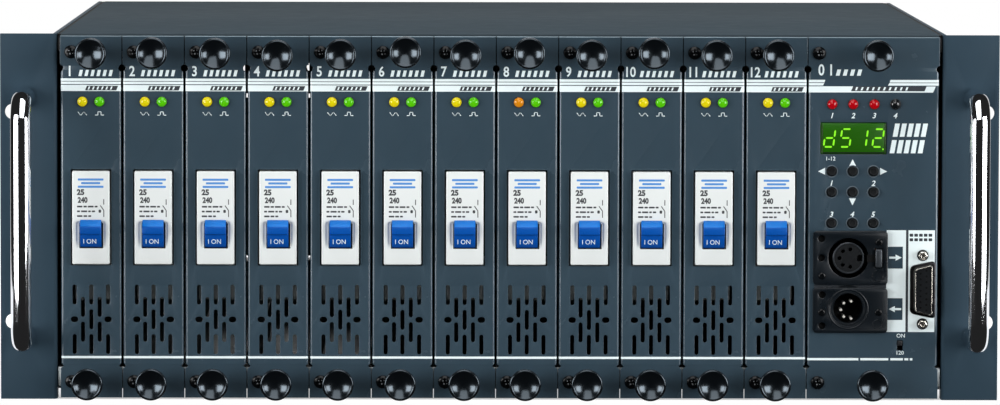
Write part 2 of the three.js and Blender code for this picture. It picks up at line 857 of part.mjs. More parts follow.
// The finger guard in the rear wall: rings on four spokes.
function fanGuard() {
  const rings = Array.from({ length: guardRingCount }, (_, ring) => {
    const radius = guardCap + ((fanBoreRadius - guardCap) * (ring + 1)) / (guardRingCount + 1);
    const outer = ringCorners(fanOffset, fanHeight, radius + guardWire / 2, ringSides);
    const inner = ringCorners(fanOffset, fanHeight, radius - guardWire / 2, ringSides);
    return pushedBack(outline(outer, [inner]), [rearInner, chassisDepth]);
  });
  const reach = 2 * (fanBoreRadius + overrun);
  const spokes = [
    block(spanAround(fanOffset, reach), [rearInner, chassisDepth], spanAround(fanHeight, guardWire)),
    block(spanAround(fanOffset, guardWire), [rearInner, chassisDepth], spanAround(fanHeight, reach)),
  ];
  const cap = bar(guardCap, fanOffset, fanHeight, [rearInner, chassisDepth], ringSides);
  return joined([...rings, ...spokes, cap]);
}

// The rear wall's cable entries: closed knock-outs and one open gland for the mains cable.
function knockouts() {
  return knockoutHeights.flatMap((z) =>
    Array.from({ length: knockoutColumns }, (_, column) =>
      bar(knockoutRadius, sideInner - knockoutInset + column * knockoutPitch, z,
        [rearInner + sheet / 2, chassisDepth + knockoutReach], smallSides),
    ),
  );
}

function gland() {
  const x = sideInner - glandInset;
  const nut = bar(glandRadius, x, glandHeight,
    [chassisDepth - sheet / 2, chassisDepth + glandReach / 2], smallSides);
  const dome = bar(glandDomeRadius, x, glandHeight,
    [chassisDepth, chassisDepth + glandReach], smallSides);
  return nut.add(dome);
}

// Floor and rear wall in one bent sheet, with everything that is riveted to them.
function chassisTray() {
  const reach = sideInner - fitGap;
  const floor = block([-reach, reach], [sheet + fitGap, chassisDepth], [baseLift, floorTop]);
  const wall = block([-reach, reach], [rearInner, chassisDepth], [baseLift, wallTop]);
  const lips = [[-reach, sheet - reach], [reach - sheet, reach]].map((x) =>
    block(x, [earReturn + fitGap, chassisDepth], [baseLift, floorTop + trayLip]),
  );
  const mouth = bar(fanBoreRadius, fanOffset, fanHeight,
    [rearInner - overrun, chassisDepth + overrun], boreSides);
  const cableHole = bar(glandBore, sideInner - glandInset, glandHeight,
    [rearInner - overrun, chassisDepth + glandReach + overrun], smallSides);
  const posts = [-1, 1].map((side) => {
    const outer = reach - boardMargin;
    return block(between(side * outer, side * (outer - postWidth)),
      spanAround(boardFront + boardThickness + fitGap + sheet / 2, sheet),
      [baseLift, boardBottom + boardHeight]);
  });
  const shell = joined([floor, wall, ...lips, ...posts, rail(baseLift, panelBottom + tabHeight),
    ...guides(baseLift, carrierBottom, 1)]);
  return joined([shell.subtract(mouth), fanFrame(), fanGuard(), ...knockouts(), gland()])
    .subtract(cableHole);
}

// The flat top sheet, with the upper rail and the upper guides under it.
function topCover() {
  const reach = sideInner - coverGap;
  const top = block([-reach, reach], [earSheet + fitGap, chassisDepth], [coverUnder, rackHeight]);
  return joined([
    top,
    rail(rackHeight - sheet - railHeight, rackHeight - sheet / 2),
    ...guides(rackHeight - sheet / 2, carrierTop, -1),
  ]);
}

// A side sheet whose front is bent outwards as the rack ear. Side is 1 for the right one.
function sideSheet(side) {
  const ear = rackWidth / 2;
  const corner = quarterTurn(earSheet, foldSteps).map(([a, b]) => [sideOuter - a, earSheet - b]);
  const fold = [
    [ear, 0], ...corner, [sideInner, earReturn], [sideOuter, earReturn],
    [sideOuter, earSheet], [ear, earSheet],
  ].map(([x, y]) => [side * x, y]);
  const front = raised(outline(fold), [0, rackHeight]);
  const wall = block(between(side * sideInner, side * sideOuter), [earSheet, chassisDepth],
    [baseLift, rackHeight]);
  const lip = block(between(side * (sideInner - coverLip), side * sideOuter),
    [boardFront, rearInner - fitGap], [wallTop - earSheet, wallTop]);
  const slots = [-1, 1].map((way) => {
    const [x, z] = [side * (ear - rackSlotInset), rackHeight / 2 + (way * rackSlotSpacing) / 2];
    const hole = outline(slotCorners(x, z, rackSlotLength, rackSlotHeight, rackSlotEndSteps));
    return pushedBack(hole, [-overrun, earSheet + overrun]);
  });
  return joined([front, wall, lip]).subtract(joined(slots));
}

// A chrome handle: one rod with two bends, its legs standing on the ear.
function handle() {
  const [rod, half] = [handleRod / 2, handleSpan / 2];
  const [bendY, bendZ] = [handleBend + rod - handleReach, half - handleBend];
  const bend = quarterTurn(handleBend, handleBendSteps).map(([a, b]) => [bendY - a, bendZ + b]);
  const upper = [[-fitGap, half], ...bend];
  const lower = upper.map(([y, z]) => [y, -z]).reverse();
  return sweptRod([...upper, ...lower].map(([y, z]) => new THREE.Vector3(0, y, z)), rod, rodSides);
}

// A round rod along a chain of points in the YZ plane, mitred at each bend.
function sweptRod(points, radius, sides) {
  const positions = [];
  points.forEach((point, place) => {
    const before = points[Math.max(place - 1, 0)];
    const after = points[Math.min(place + 1, points.length - 1)];
    const into = point.clone().sub(before).normalize();
    const out = after.clone().sub(point).normalize();
    const along = place === 0 ? out : place === points.length - 1 ? into : into.add(out).normalize();
    const across = new THREE.Vector3(0, along.z, -along.y);
    const stretch = place === 0 || place === points.length - 1 ? 1 : 1 / along.dot(out);
    for (let side = 0; side < sides; side++) {
      const turn = (2 * Math.PI * side) / sides;
      const spot = point.clone().addScaledVector(across, stretch * radius * Math.cos(turn));
      positions.push(spot.x + radius * Math.sin(turn), spot.y, spot.z);
    }
  });
  const index = [];
  for (let ring = 0; ring < points.length - 1; ring++) {
    for (let side = 0; side < sides; side++) {
      const [a, b] = [ring * sides + side, ring * sides + ((side + 1) % sides)];
      index.push(a, a + sides, b, b, a + sides, b + sides);
    }
  }
  const last = (points.length - 1) * sides;
  for (let side = 1; side < sides - 1; side++) {
    index.push(0, side, side + 1, last, last + side + 1, last + side);
  }
  const geometry = new THREE.BufferGeometry();
  geometry.setAttribute("position", new THREE.Float32BufferAttribute(positions, 3));
  geometry.setIndex(index);
  return solid(geometry);
}

// The board at the back of the bays, with one socket for each module's blade.
function backplane() {
  const reach = sideInner - fitGap - boardMargin;
  const board = block([-reach, reach], [boardFront, boardFront + boardThickness],
    [boardBottom, boardBottom + boardHeight]);
  const wide = sheet / 2 + fitGap + socketWall;
  const tall = bladeHeight / 2 + fitGap + socketWall;
  const places = carrierPlaces().map((x) => x + bladeOffset);
  const blocks = places.map((x) =>
    block([x - wide, x + wide], [blockFront, boardFront + boardThickness / 2],
      [bladeCentre - tall, bladeCentre + tall]),
  );
  const slots = places.map((x) =>
    block([x - sheet / 2 - fitGap, x + sheet / 2 + fitGap],
      [blockFront - overrun, carrierDepth + bladeLength + fitGap],
      [bladeCentre - tall + socketWall, bladeCentre + tall - socketWall]),
  );
  return joined([board, ...blocks]).subtract(joined(slots));
}

// One fan blade: a thin curved strip that twists on its way out from the hub.
function fanBlade(place) {
  const [root, tip] = [fanHubRadius - overrun, fanBoreRadius - fanBladeGap];
  const sideShares = [[-0.5, 0], [0, 0.12], [0.5, 0]];
  const half = fanBladeThickness / 2;
  const front = sideShares.map(([along, bow]) => [along * fanBladeChord, bow * fanBladeChord + half]);
  const back = sideShares.map(([along, bow]) => [along * fanBladeChord, bow * fanBladeChord - half]);
  const shape = outline([...back, ...front.reverse()]);
  const depth = tip - root;
  const geometry = new THREE.ExtrudeGeometry(shape, { depth, steps: fanBladeSteps, bevelEnabled: false });
  const spots = geometry.getAttribute("position");
  for (let i = 0; i < spots.count; i++) {
    const share = spots.getZ(i) / depth;
    const pitch = THREE.MathUtils.degToRad(THREE.MathUtils.lerp(bladePitchRoot, bladePitchTip, share));
    const [u, v] = [spots.getX(i), spots.getY(i)];
    const across = u * Math.cos(pitch) - v * Math.sin(pitch);
    const deep = u * Math.sin(pitch) + v * Math.cos(pitch);
    spots.setXYZ(i, across, deep, root + spots.getZ(i));
  }
  return solid(geometry.rotateY((2 * Math.PI * place) / bladeCount));
}

// The fan's rotor on its shaft. The rotor is drawn about its own axis.
function fanRotor() {
  const back = fanMountDepth + fitGap;
  const hub = bar(fanHubRadius, 0, 0, [-back - fanHubDepth, -back], ringSides);
  const shaft = bar(fanShaftRadius, 0, 0, [-back - overrun, fanShaftLength - back], smallSides);
  const blades = Array.from({ length: bladeCount }, (_, place) =>
    fanBlade(place).translate([0, -back - fanHubDepth / 2, 0]),
  );
  return joined([hub, shaft, ...blades]);
}

// The whole pack

const pack = new THREE.Group();
pack.position.set(0, frontY, 0);

const handleOffset = rackWidth / 2 - handleInset;
pack.add(
  piece("chassis_tray", chassisTray(), zincSteel),
  piece("top_cover", topCover(), coverPaint),
  piece("left_side_ear", sideSheet(-1), panelPaint),
  piece("right_side_ear", sideSheet(1), panelPaint),
  piece("left_handle", handle(), chrome, -handleOffset, 0, rackHeight / 2),
  piece("right_handle", handle(), chrome, handleOffset, 0, rackHeight / 2),
  piece("backplane", backplane(), greenBoard),
  piece("fan_rotor", fanRotor(), blackPlastic, fanOffset, rearInner, fanHeight),
);

const dimmerShape = dimmerModule();
const breakerShape = breaker();
const toggleShape = toggle();
for (let bay = 0; bay < moduleCount; bay++) {
  const number = String(bay + 1).padStart(2, "0");
  const middle = -bayWidth / 2 + (bay + 1 / 2) * modulePitch;
  pack.add(
    piece("dimmer_module_" + number, dimmerShape, panelPaint, middle),
    piece("breaker_" + number, breakerShape, whitePlastic, middle),
    piece("breaker_toggle_" + number, toggleShape, bluePlastic, middle, toggleY, toggleZ),
  );
}

const control = new THREE.Group();
control.position.set(bayWidth / 2 - controlPitch / 2, 0, 0);
control.add(
  piece("control_module", controlModule(), panelPaint),
  piece("display_window", displayWindow(), greenWindow),
  piece("xlr_out", xlrOut(), blackMetal),
  piece("xlr_latch", xlrLatch(), blackMetal),
  piece("xlr_in", xlrIn(), blackMetal),
  piece("analogue_socket", analogueSocket(), plainSteel),
  piece("terminate_switch", terminateSlider(), blackPlastic, sliderOffset, 0, sliderTop),
);
const buttonNames = ["left", "up", "right", "cancel", "down", "select", "set", "function", "mode"];
const buttonShape = button();
buttonPlaces().forEach(([x, z], place) => {
  control.add(piece("button_" + buttonNames[place], buttonShape, blackPlastic, x, 0, z));
});
pack.add(control);

export default new THREE.Group().add(pack);
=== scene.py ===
"""A rack-mounted stage dimmer pack: plug-in dimmer modules, a control module and chrome handles."""

import json
import math

import bmesh
import bpy
from mathutils import Matrix, Vector


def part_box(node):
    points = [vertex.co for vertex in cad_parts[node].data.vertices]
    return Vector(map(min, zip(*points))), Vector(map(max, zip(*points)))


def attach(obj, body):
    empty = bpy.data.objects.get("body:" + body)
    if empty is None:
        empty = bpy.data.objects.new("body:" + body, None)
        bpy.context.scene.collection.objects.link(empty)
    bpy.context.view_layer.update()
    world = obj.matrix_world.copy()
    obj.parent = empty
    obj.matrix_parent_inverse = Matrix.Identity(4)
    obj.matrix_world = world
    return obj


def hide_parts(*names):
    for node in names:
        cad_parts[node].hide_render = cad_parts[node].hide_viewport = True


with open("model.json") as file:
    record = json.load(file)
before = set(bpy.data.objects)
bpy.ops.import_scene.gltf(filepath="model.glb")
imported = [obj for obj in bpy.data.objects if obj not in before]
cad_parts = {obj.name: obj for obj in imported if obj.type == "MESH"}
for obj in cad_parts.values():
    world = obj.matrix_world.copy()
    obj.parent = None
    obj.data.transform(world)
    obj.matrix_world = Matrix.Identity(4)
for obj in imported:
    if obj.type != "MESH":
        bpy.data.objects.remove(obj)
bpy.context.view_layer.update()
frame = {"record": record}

# Shapes are drawn in millimetres: x from the middle of a bay, y back from the panels' faces,
# z up from the foot of the rack ears. MM turns them into Blender's metres.
MM = 0.001
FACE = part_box("left_side_ear")[0].y / MM


def limits(node):
    """The lowest and highest corner of a frame node in millimetres."""
    low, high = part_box(node)
    return low / MM, high / MM


def middle(node):
    """The x of a node's middle in millimetres."""
    low, high = limits(node)
    return (low.x + high.x) / 2


def joint_place(name):
    """Where a joint's axis passes, in the millimetres that the shapes are drawn in."""
    joint = next(j for j in frame["record"]["behaviour"]["joints"] if j["name"] == name)
    x, y, z = (length / MM for length in joint["pos_m"])
    return x, y - FACE, z


# Sheet metal
SHEET = 1.5
PANEL_SHEET = 1.0
FOLD_RADIUS = 1.1
FOLD_GAP = 1.0
FOLD_STEPS = 6
CARRIER_INSET = 0.85  # from the line between two panels to the carrier
BARE_AND_HIGHLIGHT_EDGE = 0.32  # height of the bright edge along a panel's top: bare metal and a painted highlight
FLANGE_DEPTH = 10.0
PANEL_GAP = 0.4
TAB_TOP = 15.6  # from the foot of the panel to the joint line's lower notch
NOTCH = 1.75

# Print
INK = 0.05  # how far printed marks stand on their surface

# Modules
MODULES = [f"{number:02d}" for number in range(1, 13)]
MODULE_PITCH = middle("dimmer_module_02") - middle("dimmer_module_01")
panel_low, panel_high = limits("dimmer_module_01")
PANEL_FOOT, PANEL_HEAD = panel_low.z, panel_high.z
CARRIER_BACK = panel_high.y - FACE
control_low, control_high = limits("control_module")
CONTROL_PITCH = control_high.x - control_low.x + PANEL_GAP
KNOB_REACH = FACE - panel_low.y
KNOB_INSET = 8.2
SCREW_INSET = 7.8
SCREW_SIDE = 5.3  # from the panel's left edge
CARRIER_EDGE = 16.9  # from the panel's foot to the carrier's, and the same at the head
RAIL_EDGE = 14.9  # from the panel's foot to the lower rail's head, and the same above
ROOT = -MODULE_PITCH / 2 + CARRIER_INSET + SHEET  # the face of a carrier that its parts stand on
BLADE_SHIFT = 1.2  # from the middle of a carrier to the middle of its blade

# Camera, found from the edges of the rack front and of the top cover in the photograph
CAMERA_PLACE = (-24.4, FACE - 3044.6, 311.5)
CAMERA_YAW, CAMERA_PITCH, CAMERA_ROLL = 0.461, 4.054, 0.134  # degrees
CAMERA_LENS = 227.3


def aim_camera():
    """Sets the camera where the photograph was taken from."""
    data = bpy.data.cameras.new("camera")
    data.sensor_width = 36
    data.lens = CAMERA_LENS
    data.clip_end = 100
    camera = bpy.data.objects.new("camera", data)
    bpy.context.scene.collection.objects.link(camera)
    turn = Matrix.Rotation(math.radians(-CAMERA_YAW), 4, "Z")
    turn @= Matrix.Rotation(math.radians(90 - CAMERA_PITCH), 4, "X")
    turn @= Matrix.Rotation(math.radians(CAMERA_ROLL), 4, "Z")
    camera.matrix_world = Matrix.Translation(Vector(CAMERA_PLACE) * MM) @ turn
    bpy.context.scene.camera = camera


aim_camera()


# Materials


def linear(red, green, blue):
    """A colour given as 0 to 255 in sRGB, as Blender wants it."""
    shares = [channel / 255 for channel in (red, green, blue)]
    return [s / 12.92 if s <= 0.04045 else ((s + 0.055) / 1.055) ** 2.4 for s in shares] + [1]


def add_node(tree, kind, inputs=(), **settings):
    """A new shader node. Each input is given a value, or another node's output to link to."""
    made = tree.nodes.new("ShaderNode" + kind)
    for name, value in settings.items():
        setattr(made, name, value)
    for socket, value in dict(inputs).items():
        if isinstance(value, bpy.types.NodeSocket):
            tree.links.new(value, made.inputs[socket])
        else:
            made.inputs[socket].default_value = value
    return made


def surface(name, color, roughness, grain=0.0, grain_size=0.6, tint=0.0, spread=0.0, **sockets):
    """A material whose colour, roughness and relief vary a little over the surface.

    grain is the height of its relief in mm, at about grain_size mm. tint is how far the colour
    varies, and spread how far the roughness does.
    """
    material = bpy.data.materials.new(name)
    material.use_nodes = True
    tree = material.node_tree
    shader = tree.nodes["Principled BSDF"]
    base = linear(*color)
    for socket, value in {"Base Color": base, "Roughness": roughness, **sockets}.items():
        shader.inputs[socket.replace("_", " ")].default_value = value
    where = add_node(tree, "TexCoord").outputs["Object"]

    def noise(size, detail):
        inputs = {"Scale": 1 / (size * MM), "Detail": detail, "Vector": where}
        return add_node(tree, "TexNoise", inputs).outputs["Fac"]

    if tint:
        ramp = add_node(tree, "ValToRGB", {"Fac": noise(40 * grain_size, 3)})
        for element, side in zip(ramp.color_ramp.elements, (-1, 1)):
            element.position = 0.5 + 0.2 * side
            element.color = [channel * (1 + side * tint) for channel in base[:3]] + [1]
        tree.links.new(ramp.outputs["Color"], shader.inputs["Base Color"])
    if spread:
        reach = add_node(tree, "MapRange", {
            "From Min": 0.3, "From Max": 0.7, "To Min": roughness - spread,
            "To Max": roughness + spread, "Value": noise(15 * grain_size, 4),
        })
        tree.links.new(reach.outputs["Result"], shader.inputs["Roughness"])
    if grain:
        bump = add_node(tree, "Bump", {"Distance": grain * MM, "Height": noise(grain_size, 2)})
        tree.links.new(bump.outputs["Normal"], shader.inputs["Normal"])
    return material


def glow(material, color, strength):
    """The material also shines by itself, as a lit lamp does."""
    shader = material.node_tree.nodes["Principled BSDF"]
    shader.inputs["Emission Color"].default_value = linear(*color)
    shader.inputs["Emission Strength"].default_value = strength
    return material


panel_paint = surface("panel paint", (52, 70, 82), 0.25, grain=0.01, tint=0.05, spread=0.03)
# The ears' paint is the panels' paint made darker: painted shade against the lamps' sheen on them.
ears_with_painted_shade = surface(
    "paint with painted shade for the ears", (46, 63, 75), 0.5, grain=0.01, tint=0.05, spread=0.04, Specular_IOR_Level=0.04,
)
cover_paint = surface(
    "cover paint", (55, 66, 73), 0.8, grain=0.03, tint=0.05, spread=0.06, Specular_IOR_Level=0.1,
)
# Bright metal for the panels' top edges: a bare cut edge and a painted highlight along it.
bare_and_highlight_metal = surface(
    "painted highlight on the bare top edge", (104, 118, 126), 0.45, grain=0.01, tint=0.1, spread=0.08, Metallic=0.8,
)
white_print = surface("white print", (236, 249, 251), 0.5, grain=0.01, tint=0.02)
dark_print = surface("dark print", (30, 38, 46), 0.5, grain=0.01, tint=0.05)
knob_black = surface(
    "glossy black plastic", (8, 11, 14), 0.19, grain=0.004, grain_size=6, tint=0.1, spread=0.03,
    Specular_IOR_Level=0.5, Specular_Tint=(0.72, 0.87, 1, 1),
)
screw_black = surface(
    "blackened screw", (7, 10, 13), 0.24, grain=0.01, tint=0.15, spread=0.06,
    Specular_IOR_Level=0.15,
)
soft_black = surface("satin black plastic", (20, 22, 25), 0.4, grain=0.02, tint=0.12, spread=0.06)
button_black = surface(
    "button rubber", (4, 7, 10), 0.5, grain=0.02, tint=0.12, spread=0.06, Specular_IOR_Level=0.15,
)
# A lighter grey for the buttons' rims: a painted highlight on the hole edges.
rim_painted_highlight = surface("painted highlight on rims", (88, 102, 112), 0.4, grain=0.01, tint=0.15, spread=0.06)
# Zinc made darker: painted shade for the lower rail and the duct's feet.
shaded_zinc = surface(
    "zinc with painted shade", (112, 117, 119), 0.42, grain=0.02, tint=0.06, spread=0.08, Metallic=0.8,
)
chrome = surface(
    "chrome", (222, 224, 228), 0.05, grain=0.002, grain_size=8, spread=0.02, Metallic=1,
)
zinc = surface(
    "zinc-plated steel", (166, 170, 172), 0.34, grain=0.01, tint=0.05, spread=0.08, Metallic=0.9,
)
aluminium = surface(
    "aluminium", (178, 181, 184), 0.38, grain=0.02, tint=0.04, spread=0.06, Metallic=0.9,
)
copper = surface("enamelled copper", (170, 84, 36), 0.25, grain=0.01, tint=0.12, Metallic=0.7)
gold = surface("gold contacts", (214, 170, 84), 0.25, tint=0.05, spread=0.05, Metallic=1)
board_green = surface(
    "circuit board", (28, 88, 48), 0.35, grain=0.03, grain_size=2, tint=0.2, spread=0.08,
)
breaker_white = surface(
    "breaker housing", (229, 234, 233), 0.36, grain=0.01, tint=0.015, spread=0.04,
)
breaker_ink = surface("breaker print", (52, 54, 58), 0.5, tint=0.1)
breaker_blue = surface("blue print", (70, 140, 214), 0.5, tint=0.08)
toggle_blue = surface(
    "toggle plastic", (4, 76, 162), 0.3, grain=0.006, tint=0.05, spread=0.04,
    Specular_IOR_Level=0.3, Specular_Tint=(0.4, 0.7, 1, 1),
)
# A lighter copy of the toggle's blue for the lever's upward top: painted light from above.
toggle_painted_light = surface(
    "toggle lever top with painted light", (14, 108, 196), 0.3, grain=0.006, tint=0.05, spread=0.04,
    Specular_IOR_Level=0.3, Specular_Tint=(0.4, 0.7, 1, 1),
)
lamp_yellow = glow(
    surface("yellow lamp", (214, 200, 6), 0.12, tint=0.05, Specular_IOR_Level=0.3),
    (240, 200, 20), 0.12,
)
lamp_orange = glow(
    surface("orange lamp", (206, 128, 10), 0.12, tint=0.05, Specular_IOR_Level=0.3),
    (240, 140, 20), 0.12,
)
lamp_green = glow(
    surface("green lamp", (84, 186, 4), 0.12, tint=0.08, Specular_IOR_Level=0.3),
    (70, 210, 20), 0.1,
)
lamp_red = glow(
    surface("red lamp", (168, 4, 16), 0.1, tint=0.08, Specular_IOR_Level=0.25),
    (200, 14, 26), 0.08,
)
lamp_dark = surface("unlit lamp", (16, 18, 20), 0.12, tint=0.1)
display_green = glow(
    surface("display", (26, 80, 2), 0.25, tint=0.04, Specular_IOR_Level=0.3),
    (30, 88, 0), 0.2,
)
digit_green = glow(surface("lit segment", (110, 196, 4), 0.4, tint=0.03), (124, 224, 0), 0.6)
connector_black = surface(
    "black connector", (11, 18, 24), 0.3, grain=0.02, tint=0.08, spread=0.06,
    Specular_IOR_Level=0.3,
)
insert_black = surface(
    "connector insert", (5, 9, 13), 0.4, grain=0.02, tint=0.1, Specular_IOR_Level=0.3,
)
socket_dark = surface("dark nickel", (50, 50, 52), 0.28, tint=0.12, spread=0.08, Metallic=1)
socket_steel = surface("bright nickel", (190, 186, 178), 0.22, tint=0.08, spread=0.06, Metallic=1)
# Small light spots on the screw heads: painted highlights.
painted_glint = surface("painted glint on a screw", (120, 124, 128), 0.4, tint=0.1)
pin_silver = surface("silvered pin", (232, 230, 222), 0.35, tint=0.05, Metallic=0.3)
# Near-black for the insides of holes, slots and gaps: painted shade where light does not reach.
hole_black = surface("inside of holes", (6, 7, 8), 0.6, tint=0.1, Specular_IOR_Level=0.1)
latch_steel = surface(
    "worn steel", (50, 55, 60), 0.32, grain=0.01, tint=0.2, spread=0.1, Metallic=0.4,
)
floor_white = surface("floor", (236, 238, 240), 0.6, tint=0.005)


# Shapes


def corners_of_slot(x, z, width, height, steps=7):
    """A round hole, or a slot with round ends."""
    radius = min(width, height) / 2
    reach_x, reach_z = width / 2 - radius, height / 2 - radius
    corners = []
    for end in (1, -1):
        for step in range(steps + 1):
            turn = math.pi * step / steps - (math.pi / 2 if width > height else 0)
            a, b = math.cos(turn) * radius + reach_x, math.sin(turn) * radius + reach_z
            corners.append((x + end * a, z + end * b))
    return corners


def corners_of_box(x, z, width, height, radius=0.4, steps=3):
    """A rectangle with rounded corners."""
    corners = []
    for quarter in range(4):
        side_x, side_z = (1, 1, -1, -1)[quarter], (-1, 1, 1, -1)[quarter]
        for step in range(steps + 1):
            turn = math.pi / 2 * (quarter - 1 + step / steps)
            corners.append((
                x + side_x * (width / 2 - radius) + radius * math.cos(turn),
                z + side_z * (height / 2 - radius) + radius * math.sin(turn),
            ))
    return corners


def turns(count):
    """The angles that divide a full turn evenly."""
    return [2 * math.pi * step / count for step in range(count)]


def corners_of_ring(x, z, radius, sides=40):
    """A circle with a number of sides."""
    return [(x + radius * math.cos(turn), z + radius * math.sin(turn)) for turn in turns(sides)]


def slanted(x, z, width, height, lean):
    """A box whose upper edge is shifted to the right by lean."""
    a, b, shift = width / 2, height / 2, lean / 2
    return [
        (x - a - shift, z - b), (x + a - shift, z - b),
        (x + a + shift, z + b), (x - a + shift, z + b),
    ]


def from_curve(curve):
    """The shape of a filled curve, turned upright so that it faces the front."""
    thing = bpy.data.objects.new("drawing", curve)
    mesh = bpy.data.meshes.new_from_object(thing)
    shape = bmesh.new()
    shape.from_mesh(mesh)
    bpy.data.objects.remove(thing)
    bpy.data.meshes.remove(mesh)
    bpy.data.curves.remove(curve)
    bmesh.ops.remove_doubles(shape, verts=shape.verts, dist=0.0005)
    bmesh.ops.rotate(shape, verts=shape.verts, matrix=Matrix.Rotation(math.pi / 2, 3, "X"))
    return shape


def plate(outer, holes=(), depth=SHEET, edge=0.12, front=0.0):
    """A plate with rounded edges and holes, from front to front + depth behind the face."""
    curve = bpy.data.curves.new("plate", "CURVE")
    curve.dimensions = "2D"
    curve.fill_mode = "BOTH"
    curve.extrude = depth / 2 - edge
    curve.bevel_depth = edge
    curve.bevel_resolution = 1
    curve.offset = -edge
    for corners in [outer, *holes]:
        spline = curve.splines.new("POLY")
        spline.points.add(len(corners) - 1)
        for point, (a, b) in zip(spline.points, corners):
            point.co = (a, b, 0, 1)
        spline.use_cyclic_u = True
    return moved(from_curve(curve), y=front + depth / 2)


def moved(shape, x=0.0, y=0.0, z=0.0):
    """The shape, shifted."""
    bmesh.ops.translate(shape, verts=shape.verts, vec=(x, y, z))
    return shape


def prism(corners, low, high, axis="X"):
    """An outline in the two other axes, x before y before z, drawn out from low to high."""
    shape = bmesh.new()

    def spot(a, b, along):
        return {"X": (along, a, b), "Y": (a, along, b), "Z": (a, b, along)}[axis]

    face = shape.faces.new([shape.verts.new(spot(a, b, low)) for a, b in corners])
    grown = bmesh.ops.extrude_face_region(shape, geom=[face])["geom"]
    verts = [v for v in grown if isinstance(v, bmesh.types.BMVert)]
    bmesh.ops.translate(shape, verts=verts, vec=spot(0, 0, high - low))
    bmesh.ops.recalc_face_normals(shape, faces=shape.faces)
    return shape


def block(x, y, z, edge=0.0, segments=2):
    """A block between two limits along each axis, with its edges rounded."""
    corners = [(x[0], y[0]), (x[1], y[0]), (x[1], y[1]), (x[0], y[1])]
    shape = prism(corners, z[0], z[1], "Z")
    return rounded(shape, edge, segments) if edge else shape


def rounded(shape, width, segments=2, sharp=30):
    """The shape with its sharp edges rounded."""
    edges = [e for e in shape.edges if e.is_manifold and e.calc_face_angle() > math.radians(sharp)]
    bmesh.ops.bevel(
        shape, geom=edges, offset=width, offset_type="OFFSET", segments=segments, profile=0.5,
        affect="EDGES", clamp_overlap=True,
    )
    return shape


def span(side, *limits_):
    """Two limits on one side of the middle, in rising order. Side is 1 for the right one."""
    return sorted(side * limit for limit in limits_)


def lathe(profile, segments=48):
    """A round shape about an axis that points out of the front, from pairs of radius and reach."""
    shape = bmesh.new()
    rings = []
    for radius, reach in profile:
        around = turns(segments) if radius else [0]
        rings.append([
            shape.verts.new((radius * math.cos(turn), -reach, radius * math.sin(turn)))
            for turn in around
        ])
    for near, far in zip(rings, rings[1:]):
        for side in range(segments):
            after = (side + 1) % segments
            corners = [
                near[side % len(near)], near[after % len(near)],
                far[after % len(far)], far[side % len(far)],
            ]
            corners = list(dict.fromkeys(corners))
            if len(corners) > 2:
                shape.faces.new(corners)
    bmesh.ops.recalc_face_normals(shape, faces=shape.faces)
    return shape


def turned(profile, segments, x, z, y=0.0):
    """A round shape whose axis stands at a place of the panel."""
    return moved(lathe(profile, segments), x, y, z)


def hoop(profile, segments, x=0.0, z=0.0):
    """A round shape with an open middle: its profile runs back to where it starts."""
    return turned([*profile, profile[0]], segments, x, z)


def dome(radius, foot, top):
    """The profile of a dome from its foot nearly to its top."""
    return [
        (radius * math.sin(turn), foot + (top - foot) * math.cos(turn))
        for turn in (math.pi / 2 * (1 - step / 8) for step in range(8))
    ]


def tube(path, radius, sides=24, closed=False):
    """A round tube along a list of points."""
    points = [Vector(point) for point in path]
    shape = bmesh.new()
    rings = []
    across = None
    last = len(points) - 1
    for count, point in enumerate(points):
        before = points[count - 1] if count or closed else point
        after = points[(count + 1) % len(points)] if closed or count < last else point
        along = (after - before).normalized()
        if across is None:
            across = along.orthogonal().normalized()
        across = (across - along * across.dot(along)).normalized()
        other = along.cross(across)
        rings.append([
            shape.verts.new(point + radius * (across * math.cos(t) + other * math.sin(t)))
            for t in turns(sides)
        ])
    pairs = list(zip(rings, rings[1:]))
    if closed:
        pairs.append((rings[-1], rings[0]))
    for near, far in pairs:
        for side in range(sides):
            after = (side + 1) % sides
            shape.faces.new((near[side], near[after], far[after], far[side]))
    if not closed:
        shape.faces.new(rings[0])
        shape.faces.new(rings[-1])
    bmesh.ops.recalc_face_normals(shape, faces=shape.faces)
    return shape


def carved(shape, *cutters):
    """The shape with the cutters taken out of it."""
    things = []
    for form in (shape, *cutters):
        mesh = bpy.data.meshes.new("carving")
        form.to_mesh(mesh)
        form.free()
        thing = bpy.data.objects.new("carving", mesh)
        bpy.context.scene.collection.objects.link(thing)
        things.append(thing)
    for cutter in things[1:]:
        cut = things[0].modifiers.new("cut", "BOOLEAN")
        cut.operation = "DIFFERENCE"
        cut.object = cutter
    depsgraph = bpy.context.evaluated_depsgraph_get()
    mesh = bpy.data.meshes.new_from_object(things[0].evaluated_get(depsgraph))
    result = bmesh.new()
    result.from_mesh(mesh)
    for thing in things:
        bpy.data.meshes.remove(thing.data)
    bpy.data.meshes.remove(mesh)
    return result


def sliced(shape, *planes):
    """Cuts edges into the shape along planes, each a point and the way the plane looks."""
    for spot, way in planes:
        geometry = [*shape.verts, *shape.edges, *shape.faces]
        bmesh.ops.bisect_plane(shape, geom=geometry, plane_co=spot, plane_no=way, dist=1e-4)


